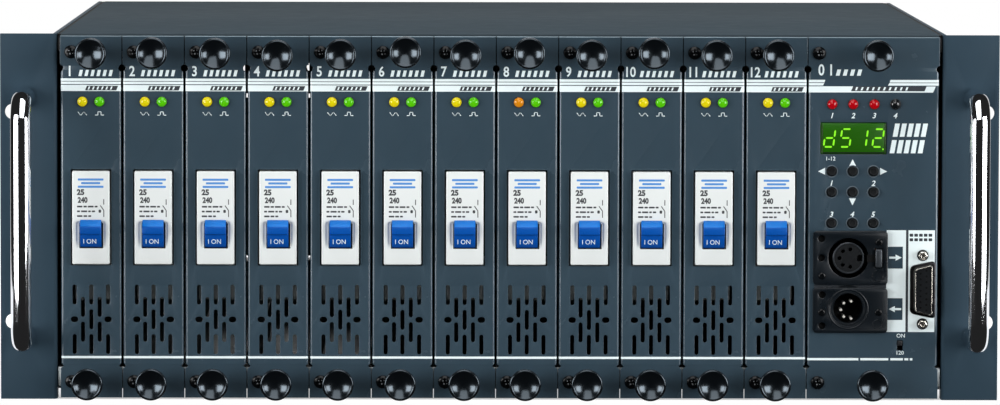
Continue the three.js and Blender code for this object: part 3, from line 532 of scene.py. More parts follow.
def shaped(name, *parts, smooth=35):
    """One mesh in metres from pairs of a shape and its material.

    A shape painted with several materials comes with a list of them.
    """
    whole = bmesh.new()
    materials = []
    for shape, given in parts:
        several = given if isinstance(given, list) else [given]
        materials += [m for m in several if m not in materials]
        mesh = bpy.data.meshes.new("part")
        shape.to_mesh(mesh)
        shape.free()
        start = len(whole.faces)
        whole.from_mesh(mesh)
        bpy.data.meshes.remove(mesh)
        whole.faces.ensure_lookup_table()
        for face in whole.faces[start:]:
            which = face.material_index if len(several) > 1 else 0
            face.material_index = materials.index(several[which])
    bmesh.ops.scale(whole, verts=whole.verts, vec=(MM, MM, MM))
    made = bpy.data.meshes.new(name)
    whole.to_mesh(made)
    whole.free()
    for material in materials:
        made.materials.append(material)
    made.polygons.foreach_set("use_smooth", [True] * len(made.polygons))
    made.set_sharp_from_angle(angle=math.radians(smooth))
    return made


def place(name, mesh, body, x=0.0, y=0.0, z=0.0, instead_of=()):
    """A piece at a place given in millimetres, riding on a body of the frame."""
    piece = bpy.data.objects.new(name, mesh)
    bpy.context.scene.collection.objects.link(piece)
    piece.location = Vector((x, FACE + y, z)) * MM
    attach(piece, body)
    if instead_of:
        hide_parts(*instead_of)
    return piece


def lettering(text, height, x, z, bold=0.0, lean=0.0, narrow=1.0, front=0.0):
    """Printed characters of a given height, centred on a place of the panel."""
    curve = bpy.data.curves.new("print", "FONT")
    curve.body = text
    curve.offset = bold
    curve.shear = lean
    curve.resolution_u = 3
    curve.extrude = 0.01
    shape = from_curve(curve)
    low = [min(v.co[axis] for v in shape.verts) for axis in (0, 2)]
    high = [max(v.co[axis] for v in shape.verts) for axis in (0, 2)]
    size = height / (high[1] - low[1])
    moved(shape, x=-(low[0] + high[0]) / 2, z=-(low[1] + high[1]) / 2)
    for v in shape.verts:
        depth = -INK if v.co.y < 0 else 0
        v.co = (x + v.co.x * size * narrow, front + depth, z + v.co.z * size)
    return shape


def mark(corners, front=0.0, ink=INK):
    """A flat printed shape."""
    return prism(corners, front - ink, front, "Y")


def box_mark(x, z, width, height, radius, material, front=0.0):
    """A printed box with round corners, and its material."""
    return mark(corners_of_box(x, z, width, height, radius), front), material


def bars(count, x, step, z, width, height, lean, material, front=0.0):
    """A row of slanted printed bars, each with its material."""
    return [
        (mark(slanted(x + step * bar, z, width, height, lean), front), material)
        for bar in range(count)
    ]


def stroke(start, end, half, past=0.0):
    """The corners of a thin line between two points, which may run a little past both."""
    (ax, az), (bx, bz) = start, end
    along = Vector((bx - ax, bz - az)).normalized()
    side, run = Vector((-along.y, along.x)) * half, along * past
    return [
        (ax - run.x - side.x, az - run.y - side.y), (bx + run.x - side.x, bz + run.y - side.y),
        (bx + run.x + side.x, bz + run.y + side.y), (ax - run.x + side.x, az - run.y + side.y),
    ]


# Panels with folded edges


def unfolded(x, waist):
    """How far out a point of the fold, seen from the front, lies on the flat sheet."""
    if x <= waist:
        return x
    return waist + FOLD_RADIUS * math.asin(min(1, (x - waist) / FOLD_RADIUS))


def notch_corners(joint_x, joint_z, waist, steps):
    """The corners of a relief notch from the tab to the folded edge, upwards.

    One step makes a diamond with its neighbour, more steps a round hole.
    """
    tab, edge = joint_x - PANEL_GAP / 2, joint_x - FOLD_GAP / 2
    low, high = (math.acos((joint_x - x) / NOTCH) for x in (tab, edge))
    turns = [-low * (1 - step / steps) for step in range(steps)]
    turns += [high * step / steps for step in range(steps + 1)]
    corners = []
    for turn in turns:
        x, z = joint_x - NOTCH * math.cos(turn), joint_z + NOTCH * math.sin(turn)
        if steps == 1:
            z = joint_z + (NOTCH - (joint_x - x)) * (1 if turn > 0 else -1)
        corners.append((x if turn < 0 else unfolded(x, waist), z))
    return corners


def panel(pitch, holes, bands):
    """A module's panel: one sheet with end tabs, notches, holes and folded long edges.

    bands are printed stretches: left, right, low and high limit and the lean of their ends.
    """
    joint = pitch / 2
    waist = joint - FOLD_GAP / 2 - FOLD_RADIUS
    reach = waist + FOLD_RADIUS * (math.pi / 2 - 1) + FLANGE_DEPTH
    tab = joint - PANEL_GAP / 2
    low_joint, high_joint = PANEL_FOOT + TAB_TOP, PANEL_HEAD - TAB_TOP
    lower = notch_corners(joint, low_joint, waist, 1)
    round_notch = notch_corners(joint, low_joint, waist, 5)
    upper = [(x, low_joint + high_joint - z) for x, z in reversed(round_notch)]
    right = [
        (tab, PANEL_FOOT), *lower, (reach, lower[-1][1]),
        (reach, upper[0][1]), *upper, (tab, PANEL_HEAD),
    ]
    left = [(-x, z) for x, z in reversed(right)]
    shape = plate(right + left, holes, PANEL_SHEET)
    painted(shape, bands, waist)
    bare_edge(shape)
    arc = FOLD_RADIUS * math.pi / 2
    runs = [waist + arc * step / FOLD_STEPS for step in range(FOLD_STEPS + 1)]
    sliced(shape, *(((side * run, 0, 0), (1, 0, 0)) for side in (-1, 1) for run in runs))
    for v in shape.verts:
        run = abs(v.co.x) - waist
        if run <= 0 or not low_joint < v.co.z < high_joint:
            continue
        radius = FOLD_RADIUS - v.co.y
        turn = min(run, arc) / FOLD_RADIUS
        x = waist + radius * math.sin(turn)
        v.co.x = math.copysign(x, v.co.x)
        v.co.y = FOLD_RADIUS - radius * math.cos(turn) + max(0, run - arc)
    return shape


def bare_edge(shape):
    """Chamfers the panel's top front edge and gives the chamfer the third material: bare metal and
    a painted highlight.
    """
    foot = PANEL_HEAD - BARE_AND_HIGHLIGHT_EDGE
    sliced(shape, ((0, 0, foot), (0, 0, 1)))
    for v in shape.verts:
        v.co.y = max(v.co.y, v.co.z - foot)
    for face in shape.faces:
        centre = face.calc_center_median()
        if centre.z > foot + BARE_AND_HIGHLIGHT_EDGE / 4 and centre.y < PANEL_SHEET * 0.7:
            face.material_index = 2


def painted(shape, bands, waist):
    """Gives the stretches of the bands on the front of the flat sheet the second material."""
    around = waist + FOLD_RADIUS * 1.4
    for left, right, low, high, lean in bands:
        tilt = lean / (high - low)
        planes = [((0, 0, low), (0, 0, 1)), ((0, 0, high), (0, 0, 1))]
        planes += [((x, 0, low), (1, 0, -tilt)) for x in (left, right) if abs(x) < waist]
        planes += [((x, 0, 0), (1, 0, 0)) for x in (-around, around)]
        sliced(shape, *planes)
        for face in shape.faces:
            centre = face.calc_center_median()
            shift = tilt * (centre.z - low)
            inside = low < centre.z < high and left < centre.x - shift < right
            if inside and abs(centre.x) < around and centre.y < PANEL_SHEET / 4:
                face.material_index = 1


# Small parts shared by all modules


def knob_mesh():
    """A glossy knob: stem, cap with a rolled rim, and a dish for the finger."""
    cap, roll = 7.6, 0.8
    crest = KNOB_REACH - 0.9
    rim = [
        (cap - roll + roll * math.cos(turn), crest - roll + roll * math.sin(turn))
        for turn in (math.radians(134) * step / 10 for step in range(11))
    ]
    edge, lip = rim[-1]
    steps = 16
    dish, reach = [], lip
    for step in range(1, steps + 1):
        share = 1 - (step - 0.5) / steps
        slope = 12 * (1 - math.exp(-share / 0.12)) + 33 * share**1.8
        reach -= math.tan(math.radians(slope)) * edge / steps
        dish.append((edge * (1 - step / steps), reach))
    profile = [
        (0, -SHEET / 2), (3.6, -SHEET / 2), (3.6, 10.4), (4.4, 10.9), (7.0, 11.6),
        (cap - 0.1, 11.9), (cap, 12.3), *rim, *dish,
    ]
    return shaped("knob", (lathe(profile, 64), knob_black), smooth=50)


def cross_recess(size, depth, top):
    """The cutter for the cross in a screw's head."""
    arms = []
    for turn in range(4):
        for a, b in ((size, -0.36), (size, 0.36), (0.36, 0.36)):
            c, s = (1, 0, -1, 0)[turn], (0, 1, 0, -1)[turn]
            arms.append((a * c - b * s, a * s + b * c))
    return prism(arms, -top - 1, -top + depth, "Y")


# Where the painted highlights sit on a large screw's head, as shares of its radius.
PAINTED_GLINTS = ((0.2, 0.28, 0.1), (-0.26, 0.22, 0.16), (-0.12, -0.24, 0.2), (0.3, -0.2, 0.11))


def screw_mesh(radius, reach):
    """A pan-head screw with a crossed recess. A large one has four painted glints on its head."""
    foot = -SHEET / 2
    head = lathe([(0, foot), (radius, foot), *dome(radius, 0.35 * reach, reach), (0, reach)], 32)
    parts = [(carved(head, cross_recess(radius * 0.64, reach * 0.6, reach)), screw_black)]
    for a, b, size in PAINTED_GLINTS if radius > 2 else ():
        size *= radius
        parts.append(box_mark(a * radius, b * radius, size, size, 0.05, painted_glint, 0.04 - reach))
    return shaped("screw", *parts)


def lamp_mesh(material):
    """A domed lamp in a thin black ring."""
    radius, reach, foot = 2.65, 2.2, 0.4
    lens = radius - 0.25
    ring = [
        (0, -1), (radius, -1), (radius, 0.25), (radius - 0.1, 0.35), (lens, 0.35), (lens, 0),
        (0, 0),
    ]
    glass = [(0, 0), (lens, 0), *dome(lens, foot, reach), (0, reach)]
    return shaped("lamp", (lathe(ring, 32), soft_black), (lathe(glass, 32), material))


KNOB, SCREW = knob_mesh(), screw_mesh(3.2, 1.9)


# Dimmer modules

VENT_PITCH_X, VENT_PITCH_Z, VENT_CENTRE = 4.05, 12.05, 38.7
LAMP_Z = 144.2
LAMP_SPACING = 8.2
ORANGE_MODULE = "08"  # the one whose left lamp is orange
BREAKER_WIDTH, BREAKER_NOSE, BREAKER_CENTRE = 18.0, 45.0, 88.2
BREAKER_REACH = 3.0
STRIPES = [(154.15, 155.4), (152.65, 153.85), (149.3, 152.25)]  # heights of the printed stripes
LOWER_LINE = (19.8, 20.9)
WIDE = 100.0  # past both ends of any band


def vent_slots():
    """The outlines of the cooling slots, in five staggered columns."""
    slots = []
    for column in range(-2, 3):
        rows = (-0.5, 0.5) if column % 2 else (-1, 1) if column else (-1, 0, 1)
        x = column * VENT_PITCH_X
        slots += [corners_of_slot(x, VENT_CENTRE + row * VENT_PITCH_Z, 1.95, 9.65) for row in rows]
    slots += [corners_of_slot(side * 2 * VENT_PITCH_X, VENT_CENTRE, 3.6, 2.8) for side in (-1, 1)]
    return slots


def dimmer_panel():
    """A dimmer module's panel with its cooling slots, the breaker's opening and the stripes."""
    opening = corners_of_box(0, BREAKER_CENTRE, BREAKER_WIDTH + 1.6, BREAKER_NOSE + 1.5, 0.5)
    bands = [(-WIDE, WIDE, low, high, 0) for low, high in [*STRIPES, LOWER_LINE]]
    sheet = panel(MODULE_PITCH, [*vent_slots(), opening], bands)
    return shaped("dimmer panel", (sheet, [panel_paint, white_print, bare_and_highlight_metal]))


def lamp_symbols():
    """A wave under the left lamp and a pulse under the right one."""
    wave = [
        (-LAMP_SPACING / 2 + x * 0.5, 138.4 + 0.75 * math.sin(x * math.pi / 3))
        for x in range(-4, 5)
    ]
    pulse = [(2.2, 137.7), (3.4, 137.7), (3.4, 139.3), (4.9, 139.3), (4.9, 137.7), (6.1, 137.7)]
    return [
        (mark(stroke(start, end, 0.18, 0.18)), white_print)
        for line in (wave, pulse) for start, end in zip(line, line[1:])
    ]


def dimmer_print(number):
    """The printed marks of one dimmer module, with its channel number."""
    channel = lettering(str(int(number)), 5.0, -10.2, 159.0, bold=0.02, narrow=0.85)
    return shaped(
        "dimmer print " + number, (channel, white_print),
        *bars(6, -4.9, 2.9, 158.0, 1.5, 3.0, 0.7, white_print),
        *bars(1, 5.2, 0, 150.75, 15.0, 2.2, 0.9, dark_print),
        *bars(6, -0.9, 2.15, 150.75, 0.75, 1.5, 0.6, white_print, -INK),
        *lamp_symbols(),
    )


# Breakers

WINDOW = (0.0, 79.9, 14.3, 13.2)  # middle, width and height of the recess round the toggle
WINDOW_DEPTH = 0.6
TOGGLE_RADIUS = 7.25
toggle_low, toggle_high = limits("breaker_toggle_01")
TOGGLE_HALF = (toggle_high.x - toggle_low.x) / 2
TOGGLE_SLOT = TOGGLE_HALF + 0.3  # half the width of the opening round the toggle
_, TOGGLE_Y, TOGGLE_Z = joint_place("toggle_01_tilt")


def breaker_mesh():
    """A breaker: nose with a recess round the toggle, shoulders and body."""
    low, high = limits("breaker_01")
    depth = high.y - FACE
    nose, body = BREAKER_NOSE / 2, (high.z - low.z) / 2
    upper = [(-BREAKER_REACH, nose), (15.0, nose), (22.0, body), (depth, body)]
    outline = upper + [(y, -z) for y, z in reversed(upper)]
    half = BREAKER_WIDTH / 2
    housing = prism([(y, BREAKER_CENTRE + z) for y, z in outline], -half, half, "X")
    rounded(housing, 0.5, 3)
    recess = corners_of_box(*WINDOW, 1.2, 5)
    pocket = corners_of_ring(TOGGLE_Y, TOGGLE_Z, TOGGLE_RADIUS + 0.35, 48)
    return carved(
        housing, prism(recess, -BREAKER_REACH - 1, -BREAKER_REACH + WINDOW_DEPTH, "Y"),
        prism(pocket, -TOGGLE_SLOT, TOGGLE_SLOT, "X"),
    )


def toggle_shape():
    """The toggle: a drum with a lever, in side view. The lever's top is a lighter blue: painted
    light.
    """
    corners = [(-5.5, 7.3), (-9.3, 4.3), (-9.58, 3.8), (-9.58, 0.8), (-9.4, 0.6)]
    for step in range(46):
        turn = math.radians(2 - step * 318 / 45)
        corners.append((-TOGGLE_RADIUS * math.cos(turn), TOGGLE_RADIUS * math.sin(turn)))
    shape = prism(corners, -TOGGLE_HALF, TOGGLE_HALF, "X")
    rounded(shape, 0.25, 2, 40)
    shape.normal_update()
    # Upward faces at the lever's front take the lighter copy: painted light.
    for face in shape.faces:
        face.material_index = int(face.normal.z > 0.5 and face.calc_center_median().y < -5.6)
    return shape


def toggle_mesh():
    """The toggle with its label, which is sliced and bent round the drum."""
    label = lettering("I ON", 2.3, -0.4, -3.15, narrow=0.95)
    sliced(label, *(((0, 0, -4.3 + 2.3 * step / 8), (0, 0, 1)) for step in range(1, 8)))
    for v in label.verts:
        turn = math.asin(v.co.z / TOGGLE_RADIUS)
        radius = TOGGLE_RADIUS + (INK if v.co.y < 0 else -INK)
        v.co.y, v.co.z = -radius * math.cos(turn), radius * math.sin(turn)
    return shaped("toggle", (toggle_shape(), [toggle_blue, toggle_painted_light]), (label, white_print))


def breaker_print():
    """Plain marks on the breaker's face: blue bars, numbers, dashes and a switch symbol.

    Dark lines on the floor of the recess are painted shade along the gap round the toggle.
    """
    face = -BREAKER_REACH
    parts = [
        box_mark(0, 106.7 - 1.75 * line, width, 1.0, 0.3, breaker_blue, face)
        for line, width in enumerate((12.4, 9.2, 12.4))
    ]
    parts.append((lettering("25", 2.9, -4.9, 100.6, bold=0.05, front=face), breaker_ink))
    voltage = lettering("240", 2.9, -3.9, 96.8, bold=0.045, front=face, narrow=0.85)
    parts.append((voltage, breaker_ink))
    for row, dashes in enumerate(((2.6, 1.6, 2.8, 1.4), (1.4, 3.0, 1.2, 1.6), (2.6, 1.8, 1.4))):
        x = -6.6
        for dash in dashes:
            z = 93.6 - 2.3 * row
            parts.append(box_mark(x + dash / 2, z, dash, 0.8, 0.2, breaker_ink, face))
            x += dash + 0.5
    symbol = [((6.3, 97.2), (6.3, 94.6)), ((6.3, 91.8), (4.6, 94.2)), ((6.3, 91.8), (6.3, 88.6))]
    parts += [(mark(stroke(start, end, 0.2), face), breaker_ink) for start, end in symbol]
    parts.append(box_mark(4.4, 91.4, 1.2, 1.5, 0.4, breaker_ink, face))
    # Painted shade beside and below the toggle's opening.
    for low, high, bottom, top in (
        (-TOGGLE_SLOT - 0.15, -TOGGLE_SLOT, 73.7, 85.6),
        (TOGGLE_SLOT, TOGGLE_SLOT + 0.5, 73.7, 85.6),
        (-TOGGLE_SLOT, TOGGLE_SLOT + 0.5, 73.4, 73.9),
    ):
        parts.append(box_mark(
            (low + high) / 2, (bottom + top) / 2, high - low, top - bottom, 0.05, hole_black,
            face + WINDOW_DEPTH,
        ))
    return shaped("breaker print", *parts)


# Inside the modules


def carrier_mesh(pitch):
    """The carrier plate with its chamfered corners."""
    left = -pitch / 2 + CARRIER_INSET
    low, high, back = PANEL_FOOT + CARRIER_EDGE, PANEL_HEAD - CARRIER_EDGE, CARRIER_BACK - 12
    trim = 8.0
    corners = [
        (FOLD_RADIUS, low), (back - trim, low), (back, low + trim), (back, high - trim),
        (back - trim, high), (FOLD_RADIUS, high),
    ]
    sheet = rounded(prism(corners, left, left + SHEET, "X"), 0.15, 1)
    return shaped("carrier", (sheet, zinc))


def heat_sink_mesh():
    """The heat sink: a base with fins along the air stream."""
    length, low, high, fins, thick = (92, 202), 40, 132, 13, 1.6
    parts = [(block((ROOT, ROOT + 4), length, (low, high), 0.3), aluminium)]
    for fin in range(fins):
        z = low + fin * (high - low - thick) / (fins - 1)
        parts.append((block((ROOT + 3.5, ROOT + 20), length, (z, z + thick), 0.2, 1), aluminium))
    return shaped("heat sink", *parts)


def choke_mesh():
    """The choke: a ring wound with enamelled wire, on a fibre washer."""
    centre, radius = Vector((ROOT + 10.3, 243, 92)), 19.3
    parts = []
    for way in turns(34):
        out = Vector((0, math.cos(way), math.sin(way)))
        loop = [
            centre + out * (radius + 6.6 * math.cos(t)) + Vector((8.3 * math.sin(t), 0, 0))
            for t in turns(16)
        ]
        parts.append((tube(loop, 1.15, 6, closed=True), copper))
    core = [centre + Vector((0, math.cos(t), math.sin(t))) * radius for t in turns(48)]
    parts.append((tube(core, 5.6, 16, closed=True), insert_black))
    washer = corners_of_ring(centre.y, centre.z, 12.5)
    parts.append((prism(washer, ROOT, ROOT + 19.5, "X"), insert_black))
    return shaped("choke", *parts)


def power_block_mesh():
    """The switching block between breaker and heat sink, with its three terminals."""
    width = 17
    parts = [(block((ROOT, ROOT + width), (74, 90), (48, 84), 0.8), soft_black)]
    for z in (54, 66, 78):
        head = lathe([(0, 0), (3, 0), (3, 2), (2.4, 2.4), (0, 2.4)], 20)
        bmesh.ops.rotate(head, verts=head.verts, matrix=Matrix.Rotation(math.pi / 2, 3, "Z"))
        parts.append((moved(head, ROOT + width, 82, z), gold))
    return shaped("power block", *parts)


def blade_mesh(pitch):
    """The contact blade: a board edge with gold pads on both sides."""
    left = -pitch / 2 + CARRIER_INSET + BLADE_SHIFT
    back = CARRIER_BACK
    parts = [(block((left, left + SHEET), (back - 24, back), (62, 114), 0.15, 1), board_green)]
    for pad in range(9):
        z = 65 + pad * 5.75
        for x in (left - 0.05, left + SHEET):
            parts.append((block((x, x + 0.05), (back - 10, back - 1), (z - 1.8, z + 1.8)), gold))
    return shaped("blade", *parts)


# The captive knobs have some play in their holes, so none stands quite in the middle
TOP_PLAY = [
    (0.6, 0.1), (-0.1, 0.5), (0.1, 0.2), (0, -0.6), (0.3, -0.2), (1.4, 1.1), (0.3, -0.4),
    (0.8, 0.7), (0.7, -0.3), (0.6, 0.8), (0.6, -0.3), (0.1, -0.1), (1.0, -0.2),
]
BOTTOM_PLAY = [-1.4, -0.7, -1.2, -0.7, -0.9, -1.0, -0.3, -0.9, -1.1, -0.7, -0.7, -0.7, -0.6]
BOTTOM_DROP = 0.5


def place_fittings(named, body, bay, x, pitch):
    """The two knobs and the two screws of a panel."""
    side, lift = TOP_PLAY[bay]
    low, high = PANEL_FOOT + KNOB_INSET - BOTTOM_DROP, PANEL_HEAD - KNOB_INSET + lift
    place(named + "knob_top", KNOB, body, x + side, z=high)
    place(named + "knob_bottom", KNOB, body, x + BOTTOM_PLAY[bay], z=low)
    side = x - pitch / 2 + PANEL_GAP / 2 + SCREW_SIDE
    for end, height in (("top", PANEL_HEAD - SCREW_INSET), ("bottom", PANEL_FOOT + SCREW_INSET)):
        place(named + "screw_" + end, SCREW, body, side, z=height)


def build_dimmer_modules():
    """The twelve dimmer modules with their breakers and toggles."""
    sheet = dimmer_panel()
    yellow, green, orange = map(lamp_mesh, (lamp_yellow, lamp_green, lamp_orange))
    housing = shaped("breaker", (breaker_mesh(), breaker_white))
    toggle, marks = toggle_mesh(), breaker_print()
    inside = (
        ("carrier", carrier_mesh(MODULE_PITCH), "zinc_steel"),
        ("heat_sink", heat_sink_mesh(), "zinc_steel"), ("choke", choke_mesh(), "circuit_board"),
        ("power_block", power_block_mesh(), "black_plastic"),
        ("blade", blade_mesh(MODULE_PITCH), "circuit_board"),
    )
    for bay, number in enumerate(MODULES):
        node, body = "dimmer_module_" + number, "module_" + number
        x = middle(node)
        named = body + "_"
        place(named + "panel", sheet, body, x, instead_of=[node])
        place_fittings(named, body, bay, x, MODULE_PITCH)
        left_lamp = orange if number == ORANGE_MODULE else yellow
        for word, side, lamp in (("power", -1, left_lamp), ("signal", 1, green)):
            offset = side * LAMP_SPACING / 2
            place(named + word + "_lamp", lamp, body, x + offset, z=LAMP_Z)
        place(named + "print", dimmer_print(number), body, x)
        for word, mesh, slot in inside:
            place(named + word, mesh, body, x)
        breaker = "breaker_" + number
        place(named + "breaker", housing, body, x, instead_of=[breaker])
        place(named + "breaker_print", marks, body, x)
        place(
            named + "toggle", toggle, "toggle_" + number, x, TOGGLE_Y, TOGGLE_Z,
            instead_of=["breaker_toggle_" + number],
        )


build_dimmer_modules()


# Control module

BUTTON_COLUMNS = [-20.15, -10.05, 0.05]
BUTTON_ROWS = [111.1, 101.0, 86.0]
BUTTON_NAMES = ["left", "up", "right", "cancel", "down", "select", "set", "function", "mode"]
DISPLAY = (-9.75, 127.1, 31.2, 14.7)
STATUS_LAMPS = [-20.05, -9.9, 0.3, 10.5]
STATUS_LAMP_Z = 143.6
DISPLAY_FRONT = -0.6
CONNECTOR_X, CONNECTOR_WIDTH = -10.95, 36.2
OUT_CENTRE, OUT_HEIGHT = 69.2, 26.2
IN_CENTRE, IN_HEIGHT = 43.8, 22.0
BARREL_X = -11.95
CUP_CENTRE = IN_CENTRE + 1
LATCH_SLOT = (CONNECTOR_X + 13.6, OUT_CENTRE, 3.8, 9.4)  # middle, width and height
EMBOSSED_SIDE = 13.3  # from the plates' middle to the small raised rings
CONTACT_CIRCLE = 4.3  # radius of the circle that the contacts stand on
SOCKET_X, SOCKET_CENTRE = 24.15, 53.8
JACK_REACH = 16.65  # from the socket's middle to its nuts
SLIDER_X, SLIDER_CENTRE = 13.35, 26.7
BROKEN_LINE = (19.35, 20.45)
LINE_PIECES = [(-WIDE, -6.7), (-5.75, 7.8), (8.8, 14.9), (15.6, 17.5), (18.25, 19.5)]


def socket_corners(width, height, taper, radius=1.2, steps=4):
    """The outline of a D-shaped shell, its wide side on the right, with rounded corners."""
    a, b = width / 2, height / 2
    tight = [(-a, -b + taper), (a, -b), (a, b), (-a, b - taper)]
    corners = []
    for count in range(4):
        here, before, after = (Vector(tight[(count + k) % 4]) for k in (0, -1, 1))
        start = here + (before - here).normalized() * radius
        end = here + (after - here).normalized() * radius
        for step in range(steps + 1):
            share = step / steps
            point = (1 - share) ** 2 * start + 2 * share * (1 - share) * here + share**2 * end
            corners.append((SOCKET_X + point.x, SOCKET_CENTRE + point.y))
    return corners


def button_rims():
    """The raised edges round the holes of the buttons, in a lighter grey: a painted highlight."""
    rim = [(2.5, -0.5), (3.05, -0.5), (3.05, 0.05), (2.9, 0.22), (2.65, 0.22), (2.5, 0.05)]
    return [(hoop(rim, 32, x, z), rim_painted_highlight) for z in BUTTON_ROWS for x in BUTTON_COLUMNS]


def control_panel():
    """The control module's panel with its openings, stripes and button rims."""
    x, z, width, height = DISPLAY
    holes = [corners_of_box(x, z, width + 0.8, height + 0.8, 0.3)]
    holes += [corners_of_ring(bx, bz, 2.55, 24) for bz in BUTTON_ROWS for bx in BUTTON_COLUMNS]
    holes += [corners_of_ring(BARREL_X, bz, 11.6) for bz in (OUT_CENTRE, CUP_CENTRE)]
    holes.append(corners_of_box(*LATCH_SLOT, 0.2))
    holes.append(socket_corners(9.2, 25.8, 2.4))
    holes.append(corners_of_box(SLIDER_X, SLIDER_CENTRE, 2.8, 4.9, 0.2))
    top, mid, low = STRIPES
    bands = [
        (-WIDE, -23.9, *top, 0.4), (-WIDE, -24.6, *mid, 0.6),
        (7.6, 31.4, *top, 0.4), (6.8, 30.6, *mid, 0.6), (-WIDE, 28.6, *low, 1.3),
    ]
    bands += [(left, right, *BROKEN_LINE, 0) for left, right in LINE_PIECES]
    sheet = panel(CONTROL_PITCH, holes, bands)
    return shaped("control panel", (sheet, [panel_paint, white_print, bare_and_highlight_metal]), *button_rims())


def seven_segments(digit, x, z, height):
    """A lit digit of a seven-segment display, leaning a little to the right."""
    shown = {"d": "bcdeg", "5": "afgcd", "1": "bc", "2": "abged"}[digit]
    half, thick, lean = height / 2, height * 0.1, 0.13
    wide = height * 0.27
    spots = {
        "a": (0, half, 0), "g": (0, 0, 0), "d": (0, -half, 0), "f": (-wide, half / 2, 1),
        "b": (wide, half / 2, 1), "e": (-wide, -half / 2, 1), "c": (wide, -half / 2, 1),
    }
    parts = []
    for name in shown:
        sx, sz, upright = spots[name]
        long = (half if upright else 2 * wide) / 2 - thick * 0.55
        across = thick / 2
        corners = [(-long, 0), (-long + across, -across), (long - across, -across)]
        corners += [(-a, -b) for a, b in corners]
        if upright:
            corners = [(-b, a) for a, b in corners]
        corners = [(x + sx + a + lean * (sz + b), z + sz + b) for a, b in corners]
        parts.append((mark(corners, DISPLAY_FRONT), digit_green))
    return parts


def display_mesh():
    """The display: a green window with bright ends and a dark foot, four digits and a point."""
    x, z, width, height = DISPLAY
    limits_x, limits_z = (x - width / 2, x + width / 2), (z - height / 2, z + height / 2)
    parts = [(block(limits_x, (DISPLAY_FRONT, 12), limits_z, 0.15, 2), display_green)]
    for side in (-1, 1):
        end = x + side * (width / 2 - 0.45)
        parts.append(box_mark(end, z, 0.4, height - 0.8, 0.1, socket_steel, DISPLAY_FRONT))
    foot = z - height / 2 + 0.4
    parts.append(box_mark(x, foot, width - 1.4, 0.5, 0.1, hole_black, DISPLAY_FRONT))
    for step, digit in enumerate("d512"):
        parts += seven_segments(digit, x - 11.6 + 7.85 * step, z + 0.2, 8.6)
    point = mark(corners_of_ring(x + 14.3, z - 5.2, 0.4, 12), DISPLAY_FRONT)
    return shaped("display", *parts, (point, digit_green))


def button_mesh():
    """A button: a shaft with a rounded, slightly hollow head."""
    depth = limits("button_up")[1].y - FACE
    profile = [
        (0, -depth), (2.25, -depth), (2.25, 1.3), (2.0, 1.7), (1.6, 1.8), (1.3, 1.55), (0, 1.5),
    ]
    return shaped("button", (lathe(profile, 32), button_black))


def connector_plate(centre, height, holes):
    """The flat plate of a round connector."""
    outer = corners_of_box(CONNECTOR_X, centre, CONNECTOR_WIDTH, height, 2.0, 6)
    return plate(outer, holes, 2.0, 0.35, -2.3)


def embossed(radius, x, z, wide=0.22):
    """A thin raised ring on a connector's plate, and its material."""
    ring = [
        (radius - wide, 2.2), (radius + wide, 2.2), (radius + wide, 2.45),
        (radius + wide / 2, 2.55), (radius - wide / 2, 2.55), (radius - wide, 2.45),
    ]
    return hoop(ring, 40, x, z), connector_black


def open_holes(x, heights):
    """The outlines of open holes in a connector's plate, and dark discs in them: painted shade."""
    rings = [corners_of_ring(x, z, 1.7, 24) for z in heights]
    disc = [(0, 0.4), (1.75, 0.4), (1.75, 0.2), (0, 0.2)]
    return rings, [(turned(disc, 24, x, z), hole_black) for z in heights]


def out_connector_mesh():
    """The outgoing socket: plate, ring-shaped groove, insert with five holes, latch channel."""
    groove = corners_of_ring(BARREL_X, OUT_CENTRE, 9.7, 64)
    rings, floors = open_holes(CONNECTOR_X - 14.0, (OUT_CENTRE + 9.4, OUT_CENTRE + 0.1))
    latch = corners_of_box(*LATCH_SLOT, 0.3)
    body = connector_plate(OUT_CENTRE, OUT_HEIGHT, [groove, latch, *rings])
    contacts = []
    for turn in (-102, -51, 0, 51, 102):
        way = math.radians(180 + turn)
        a, b = CONTACT_CIRCLE * math.cos(way), CONTACT_CIRCLE * math.sin(way)
        contacts.append(prism(corners_of_ring(a, b, 0.95, 16), -3, 6, "Y"))
    key = prism(corners_of_box(5.6, 0, 2.6, 3.0, 0.2), -3, 5, "Y")
    insert = carved(lathe([(0, -10), (6.75, -10), (6.75, 1.9), (0, 1.9)], 64), key, *contacts)
    # The latch channel, the groove's dark lining and the floor behind the insert are near-black
    # painted shade.
    channel = block(
        (BARREL_X + 9, CONNECTOR_X + 12), (-2.4, -0.4), (OUT_CENTRE - 2.0, OUT_CENTRE + 1.8),
    )
    collar = [(6.75, -10), (7.6, -10), (7.6, 2.0), (7.3, 2.3), (7.0, 2.3), (6.75, 1.9)]
    parts = [(body, connector_black), (channel, hole_black)]
    for shape, material in (
        (hoop([(9.7, -24), (11.2, -24), (11.2, 1), (9.7, 1)], 64), hole_black),
        (lathe([(0, -9), (11, -9), (11, -11), (0, -11)], 64), hole_black),
        (insert, insert_black), (hoop(collar, 64), latch_steel),
    ):
        parts.append((moved(shape, BARREL_X, 0, OUT_CENTRE), material))
    ring = embossed(2.6, CONNECTOR_X + EMBOSSED_SIDE, OUT_CENTRE - 8.6)
    return shaped("outgoing socket", *parts, *floors, ring)


